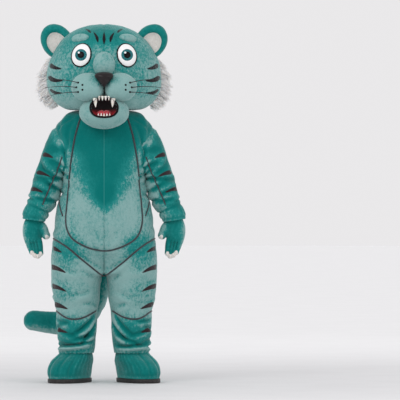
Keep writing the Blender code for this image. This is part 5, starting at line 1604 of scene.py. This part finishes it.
def fang(side, letter, looks):
    rings = []
    for x, y, height, *half_sizes in smooth_rows(FANG, 0.0035, [0, 1, 2]):
        half_width, half_depth = np.maximum(half_sizes, FANG_TIP)
        rings.append(oval(28, side * x, y, up(height), side * half_width, half_depth))
    points, faces = ring_loft(rings)
    if side < 0:
        faces = [face[::-1] for face in faces]
    piece(f"fang_{letter}_gloss", points, faces, looks["tooth"], f"fang_{letter}")


# Distance from the centre line and height
WHISKER_ROOTS = [(0.132, 1.538), (0.141, 1.514), (0.132, 1.490)]
WHISKER_TIPS = [(0.294, 1.556), (0.302, 1.512), (0.288, 1.468)]
WHISKER_DOTS = [*WHISKER_ROOTS, (0.110, 1.526), (0.110, 1.501)]
DOT_RADIUS = 0.0058
DOT_LIFT = 0.0016


def whiskers(side, letter, looks, lobe_tree):
    angle = circle(6)
    hairs = []
    for (x, height), (tip_x, tip_height) in zip(WHISKER_ROOTS, WHISKER_TIPS, strict=True):
        root = shot(lobe_tree, side * x, height, True)
        tip = np.array([side * tip_x, root[1] + 0.030, up(tip_height)])
        share = np.linspace(0, 1, 20)
        path = root + (tip - root) * share[:, None]
        path[:, 2] += 0.006 * np.sin(np.pi * share)
        path[:, 1] -= 0.010 * np.sin(np.pi * share)
        rings = []
        for place, size in zip(path, 0.0026 - 0.0015 * share, strict=True):
            rings.append(place + np.column_stack([np.zeros(6), np.cos(angle), np.sin(angle)]) * size)
        hairs.append(ring_loft(rings))
    piece(f"whiskers_{letter}_hairs", *joined(hairs), looks["whisker"], f"whiskers_{letter}")
    dots = [disc_on(lobe_tree, side * x, height, DOT_RADIUS, DOT_LIFT, 4, 16) for x, height in WHISKER_DOTS]
    piece(f"whisker_dots_{letter}", *joined(dots), looks["line"])


MOUTH_RIM = [  # half of the mouth's edge, from the top centre round to the bottom centre
    (0.0, 1.457), (0.026, 1.455), (0.048, 1.447), (0.064, 1.432), (0.0695, 1.412), (0.066, 1.391),
    (0.053, 1.375), (0.030, 1.365), (0.0, 1.362),
]  # fmt: skip
# Teeth as (distance from the centre line, length, half width)
UPPER_TEETH = [(x, 0.024, 0.0078) for x in (-0.0246, -0.0082, 0.0082, 0.0246)]
LOWER_TEETH = [(x, 0.021, 0.0070) for x in (-0.029, -0.0145, 0.0, 0.0145, 0.029)]
TEETH_Y = -0.318
TOOTH_HALF_DEPTH = 0.0075


def row_of_teeth(name, teeth, height, down, looks):
    blocks = []
    for x, length, half_width in teeth:
        y = TEETH_Y + 0.35 * x * x / 0.050
        rings = []
        for share in np.linspace(0, 1, 12):
            size = max(1 - share**1.25, 0.03) ** 0.85
            z = up(height) + (-1 if down else 1) * length * share
            rings.append(oval(18, x, y, z, half_width * size, TOOTH_HALF_DEPTH * size))
        own, cells = ring_loft(rings)
        blocks.append((own, cells if down else [cell[::-1] for cell in cells]))
    piece(f"{name}_gloss", *joined(blocks), looks["tooth"], name)


def jaw(looks, skull_tree, half_rim):
    """The jaw, open inside the mouth's edge and where the head hides it."""
    unit, cells = ball(60)
    points = ball_points(JAW, unit)
    points += 0.0018 * rough(points, 18, 71)[:, None] * unit
    height = height_of(points)
    edge = np.interp(height, half_rim[::-1, 1], half_rim[::-1, 0], left=0, right=0)
    hole = (np.abs(points[:, 0]) < edge - 0.002) & (points[:, 1] < JAW.y)
    shown = standing_out(points, cells, skull_tree, 0.010) & ~hole[cells].all(axis=1)
    shown &= points[cells][:, :, 1].max(axis=1) < -0.160
    own, kept, _ = part_of(points, cells, shown)
    pale = 0.95 + 0.15 * rough(own, 20, 72)
    piece("jaw_plush", own, kept, looks["pads"], "jaw", {"pale": pale}, CLOTH)


def mouth(looks, skull_tree, lobe_tree):
    half = smooth_rows(MOUTH_RIM, 0.004)
    jaw(looks, skull_tree, half)

    unit, cells = ball(30)
    points = ball_points(MOUTH, unit, -0.0005)
    shown = standing_out(points, cells, skull_tree, 0.004) & (points[cells][:, :, 1].max(axis=1) > -0.322)
    own, kept, _ = part_of(points, cells[:, ::-1], shown)
    piece("mouth_lining_felt", own, kept, looks["mouth"], "mouth_lining")

    points = ball_points(TONGUE, unit)
    points[:, 2] -= 0.005 * hump(points[:, 0], 0.007) * (unit[:, 2] > 0)
    piece("tongue_felt", points, cells, looks["tongue"], "tongue")
    row_of_teeth("teeth_upper", UPPER_TEETH, 1.470, True, looks)
    row_of_teeth("teeth_lower", LOWER_TEETH, 1.363, False, looks)

    # The seam between the lobes, under the nose
    heights = np.linspace(1.524, 1.488, 12)
    path = np.array([(0.0, shot(lobe_tree, 0.003, height, True)[1], up(height)) for height in heights])
    points, faces = tube([path], [np.tile([0.0, -1.0, 0.0], (len(path), 1))], 0.0030)
    piece("muzzle_seam", points, faces, looks["line"])

    # The rim round the opening, on the jaw
    unit, cells = ball(40)
    jaw_tree = tree_of(ball_points(JAW, unit), cells)
    outline = np.concatenate([half, half[-2:0:-1] * np.array([-1, 1])])
    hits = [jaw_tree.ray_cast(Vector((x, -1, up(height))), Vector((0, 1, 0))) for x, height in outline]
    path, normals = np.array([hit[0] for hit in hits]), np.array([hit[1] for hit in hits])
    across = unit_rows(loop_across(path, normals))
    piece("mouth_rim", *loop_tube(path, across, normals, 0.0055), looks["line"])


# Mitts and boots

PALM_SQUARENESS = 0.85
MITT_VOXEL = 0.0030
FURROW_WIDTH = 0.0030
FURROW_DEPTH = 0.34  # as a share of the finger's half depth
CLAW_LENGTH = 0.024
TOE_CHANNELS = (-0.046, 0.0, 0.046)
TOE_CHANNEL_DEPTH = 0.0060
TOE_CHANNEL_WIDTH = 0.0080
BOOT_STREAKS = 15  # of painted highlight in vertical streaks, on each half of the boot
UPPER_WALL = 0.004
SOLE_PROFILE = [  # height and how far it stands out beyond the lip
    (0.0, -0.004), (0.002, 0.0), (0.005, 0.0015), (0.018, 0.0015), (0.0215, 0.0), (SOLE_THICKNESS, -0.003),
]  # fmt: skip


def hand_matrix(side):
    place = Matrix.Translation((WRIST.x, WRIST.y, up(WRIST.z))) @ Matrix.Rotation(HAND_LEAN, 4, "Y")
    return Matrix.Diagonal((side, 1, 1, 1)) @ place @ Matrix.Diagonal((1, 1, -1, 1))


def capsule(start, end, radius, end_radius):
    """Rings of a rounded finger in the hand's frame."""
    direction = (end - start) / np.linalg.norm(end - start)
    across = np.cross(direction, [0, 1, 0])
    across /= np.linalg.norm(across)
    other = np.cross(direction, across)
    angle = circle(20)[:, None]
    ring = across * np.cos(angle) + other * np.sin(angle)
    rings = []
    for share in np.linspace(0, 1, 10):
        size = radius * (0.85 + 0.25 * math.sin(math.pi * min(share * 1.1, 1.0)))
        rings.append(start + (end - start - direction * end_radius) * share + ring * size)
    base = end - direction * end_radius
    for lean in np.linspace(0, np.pi / 2, 7)[1:]:
        size = max(end_radius * math.cos(lean), 0.0004)
        rings.append(base + direction * end_radius * math.sin(lean) + ring * size)
    return rings


def fused(solids):
    """Points and faces of one smooth skin over overlapping solids."""
    bm = bmesh.new()
    for points, faces in solids:
        verts = [bm.verts.new(p) for p in points]
        for cell in faces:
            bm.faces.new([verts[v] for v in cell])
    bmesh.ops.recalc_face_normals(bm, faces=bm.faces)
    mesh = bpy.data.meshes.new("mitt_rough")
    bm.to_mesh(mesh)
    bm.free()
    made = bpy.data.objects.new("mitt_rough", mesh)
    bpy.context.scene.collection.objects.link(made)
    step = made.modifiers.new("voxels", "REMESH")
    step.mode = "VOXEL"
    step.voxel_size = MITT_VOXEL
    smooth = made.modifiers.new("smooth", "SMOOTH")
    smooth.factor = 0.5
    smooth.iterations = 6
    shaped = made.evaluated_get(bpy.context.evaluated_depsgraph_get()).to_mesh()
    points = np.array([tuple(v.co) for v in shaped.vertices])
    faces = [list(f.vertices) for f in shaped.polygons]
    bpy.data.objects.remove(made)
    return points, faces


def finger_ends(finger):
    """A finger's root and tip, across and along the hand."""
    return np.array([finger.across, finger.along]), np.array([finger.tip_across, finger.tip_along])


def claw_reach(local):
    """How far each point of a mitt lies inside the pale end of a finger."""
    claws = np.full(len(local), -1.0)
    for finger in FINGERS:
        root, tip = finger_ends(finger)
        direction = (tip - root) / np.linalg.norm(tip - root)
        offset = local[:, [0, 2]] - tip
        along = offset @ direction + CLAW_LENGTH
        off = np.abs(offset @ np.array([-direction[1], direction[0]]))
        tapered = along - 2.6 * np.maximum(off - 0.0055, 0)
        claws = np.maximum(claws, np.where(off < finger.radius * 1.35, tapered, -1.0))
    return claws


def mitt(side, letter, looks):
    palm_rows = smooth_rows(PALM, 0.006, [0])
    bulk = []
    for along, middle, wide, deep in palm_rows:
        bulk.append(oval(28, middle, 0, along, wide, deep, PALM_SQUARENESS))
    solids = [ring_loft(bulk)]
    for finger in FINGERS:
        start = np.array([finger.across, 0.0, finger.along])
        end = np.array([finger.tip_across, -0.004, finger.tip_along])
        solids.append(ring_loft(capsule(start, end, finger.radius, finger.radius * 0.85)))
    local, faces = fused(solids)
    # The furrows between the fingers
    axes = []
    for finger in FINGERS[:4]:
        root, tip = finger_ends(finger)
        axes.append(root[0] + (tip - root)[0] * (local[:, 2] - root[1]) / (tip - root)[1])
    outward = eased((local[:, 2] - 0.105) / 0.025)
    for first, second in zip(axes[:-1], axes[1:], strict=True):
        furrow = hump(local[:, 0] - (first + second) / 2, FURROW_WIDTH) * outward
        local[:, 1] *= 1 - FURROW_DEPTH * furrow
    place = hand_matrix(side)
    points = moved(place, local)
    if place.determinant() < 0:
        faces = [cell[::-1] for cell in faces]
    # The pale palm and finger ends
    from_middle = local[:, 0] - 0.012 + 0.10 * (local[:, 2] - 0.09)
    pad = 0.034 - np.hypot(from_middle, np.maximum(0.092 - local[:, 2], 0))
    palm = np.minimum(local[:, 1] - 0.008, pad)
    pale_part = np.clip(np.maximum(claw_reach(local), palm), -0.05, 0.05)
    edge = eased((local[:, 0] - 0.02) / 0.04) + eased((-local[:, 0] - 0.03) / 0.03)
    pale = 0.20 + 0.60 * edge + 0.15 * rough(points, 25, 81 + side)
    fields = {"pale": pale, "cream": pale_part}
    stands_for = (f"mitt_back_{letter}", f"mitt_palm_{letter}")
    made = piece(f"mitt_{letter}_plush", points, faces, looks["mitt"], stands_for, fields)


def boot(side, letter, looks):
    rows = smooth_rows(BOOT, 0.0035, [0, 2, 3])
    columns = BOOT_COLUMNS
    angle = circle(columns)
    height = rows[:, 0][:, None]
    depth = np.where(np.cos(angle) > 0, rows[:, 3][:, None], rows[:, 4][:, None])
    across = rows[:, 2][:, None] * power(np.sin(angle), BOOT_SQUARENESS)
    x = side * rows[:, 1][:, None] + across
    y = -depth * power(np.cos(angle), BOOT_SQUARENESS)
    base = np.stack([x, y, up(np.repeat(height, columns, axis=1))], -1).reshape(-1, 3)
    faces = grid_faces(len(rows), columns, True)[:, ::-1]
    normals = vertex_normals(base, faces)
    across = across.ravel()
    # Channels between the toes, over the front of the boot
    forward = eased((-base[:, 1] - 0.06) / 0.08)
    tall = height_of(base)
    push = np.zeros(len(base))
    for toe in TOE_CHANNELS:
        off = across - toe * (1 + 0.25 * forward)
        push -= TOE_CHANNEL_DEPTH * hump(off, TOE_CHANNEL_WIDTH) * forward
    push += 0.0022 * rough(base, 18, 91 + side)
    push *= eased((tall - 0.020) / 0.010)
    around = np.tile(angle, len(rows)) * BOOT_STREAKS / np.pi
    streak = hump(around % 1 - 0.5, 0.16) * (0.6 + 0.4 * rough(base, 26, 93 + side, 2))
    sideways = eased((np.abs(across) - 0.045) / 0.035)
    behind = eased(base[:, 1] / 0.07) * (0.35 + 0.30 * eased((np.abs(across) - 0.02) / 0.05))
    pale = 0.04 + behind + 0.10 * rough(base, 12, 95 + side, 2) + 0.42 * hump(tall - 0.030, 0.008)
    # painted highlight streaks, made paler toward the sides as painted sheen
    pale += streak * (0.26 + 0.50 * sideways) * eased((tall - 0.035) / 0.03)
    centre = Matrix.Translation((BOOT_CENTRE.x * side, BOOT_CENTRE.y, 0))
    place = centre @ Matrix.Rotation(side * BOOT_SPLAY, 4, "Z")
    points = moved(place, base + normals * push[:, None])
    name = f"boot_upper_{letter}"
    made = piece(f"{name}_plush", points, faces, looks["plain"], name, {"pale": pale}, UPPER_WALL)

    first = BOOT[0]
    middle = np.array([side * first.out, 0, 0])
    rings = []
    for tall, stand in SOLE_PROFILE:
        grow = stand + SOLE_LIP
        depth = np.where(np.cos(angle) > 0, first.toe, first.heel) + grow
        x = (first.half_width + grow) * power(np.sin(angle), BOOT_SQUARENESS)
        y = -depth * power(np.cos(angle), BOOT_SQUARENESS)
        rings.append(moved(place, np.column_stack([x, y, np.full(columns, up(tall))]) + middle))
    points, cells = ring_loft(rings)
    cells = [cell[::-1] for cell in cells]
    piece(f"boot_sole_{letter}_rubber", points, cells, looks["sole"], f"boot_sole_{letter}")


# The studio


CAMERA_DISTANCE = 20.0
CAMERA_HEIGHT = 0.941
SENSOR = 36
FRAME_WIDTH = 2.068
FRAME_CENTRE = 0.496
FLOOR_RADII = (0.5, 2, 5, 10, 20, 60)
# Name, place, size and energy; each is aimed near the costume's middle
LIGHTS = [
    ("key", (-2.6, -3.6, 2.6), 2.6, 60),
    ("fill", (3.2, -3.0, 1.4), 3.0, 20),
    ("back", (0.6, 4.2, 2.8), 2.6, 35),
]
LIT_MIDDLE = Vector((0, 0, -0.35))


def floor_look():
    """Pale grey, and brighter away from the costume so that it fades into the background."""
    made = bpy.data.materials.new("floor")
    made.use_nodes = True
    tree = made.node_tree
    shader = tree.nodes["Principled BSDF"]
    shader.inputs["Roughness"].default_value = 0.9
    shader.inputs["Specular IOR Level"].default_value = 0.1
    shader.inputs["Emission Color"].default_value = (1, 1, 1, 1)
    coordinates = tree.nodes.new("ShaderNodeTexCoord")
    length = tree.nodes.new("ShaderNodeVectorMath")
    length.operation = "LENGTH"
    tree.links.new(coordinates.outputs["Object"], length.inputs[0])
    glow = between(tree, length.outputs["Value"], 0.8, 7.0, 0.0, 0.25)
    tree.links.new(glow, shader.inputs["Emission Strength"])
    clouds = between(tree, speckle(tree, 3, 4), 0.3, 0.7)
    tree.links.new(mixed(tree, clouds, (0.69, 0.69, 0.70), (0.71, 0.71, 0.72)), shader.inputs["Base Color"])
    return made


def studio():
    world = bpy.data.worlds.new("studio")
    world.use_nodes = True
    world.node_tree.nodes["Background"].inputs["Color"].default_value = (0.82, 0.81, 0.82, 1)
    world.node_tree.nodes["Background"].inputs["Strength"].default_value = 1.0
    bpy.context.scene.world = world

    angle = circle(96)
    ground = np.column_stack([np.cos(angle), np.sin(angle), np.full(96, up(0.0))])
    rings = [ground * (radius, radius, 1) for radius in FLOOR_RADII]
    mesh = bpy.data.meshes.new("floor")
    faces = grid_faces(len(rings), 96, True)[:, ::-1].tolist() + [list(range(96))]
    mesh.from_pydata([tuple(p) for p in np.concatenate(rings)], [], faces)
    floor = bpy.data.objects.new("floor", mesh)
    bpy.context.scene.collection.objects.link(floor)
    mesh.materials.append(floor_look())

    for name, place, size, energy in LIGHTS:
        light = bpy.data.lights.new(name, "AREA")
        light.shape = "DISK"
        light.size = size
        light.energy = energy
        made = bpy.data.objects.new(name, light)
        made.location = place
        made.rotation_euler = (LIT_MIDDLE - Vector(place)).to_track_quat("-Z", "Y").to_euler()
        bpy.context.scene.collection.objects.link(made)

    camera = bpy.data.cameras.new("camera")
    camera.sensor_width = SENSOR
    camera.lens = CAMERA_DISTANCE * SENSOR / FRAME_WIDTH
    made = bpy.data.objects.new("camera", camera)
    made.location = (0, -CAMERA_DISTANCE, up(CAMERA_HEIGHT))
    aim = Vector((FRAME_CENTRE, 0, up(CAMERA_HEIGHT))) - made.location
    made.rotation_euler = aim.to_track_quat("-Z", "Y").to_euler()
    bpy.context.scene.collection.objects.link(made)
    bpy.context.scene.camera = made
    bpy.context.scene.view_settings.view_transform = "Standard"


def main():
    looks = make_materials()
    suit_tree = body_suit(looks)
    tail(looks, suit_tree)
    face(looks, skull(looks))
    for side, letter in SIDES:
        mitt(side, letter, looks)
        boot(side, letter, looks)
    studio()


main()
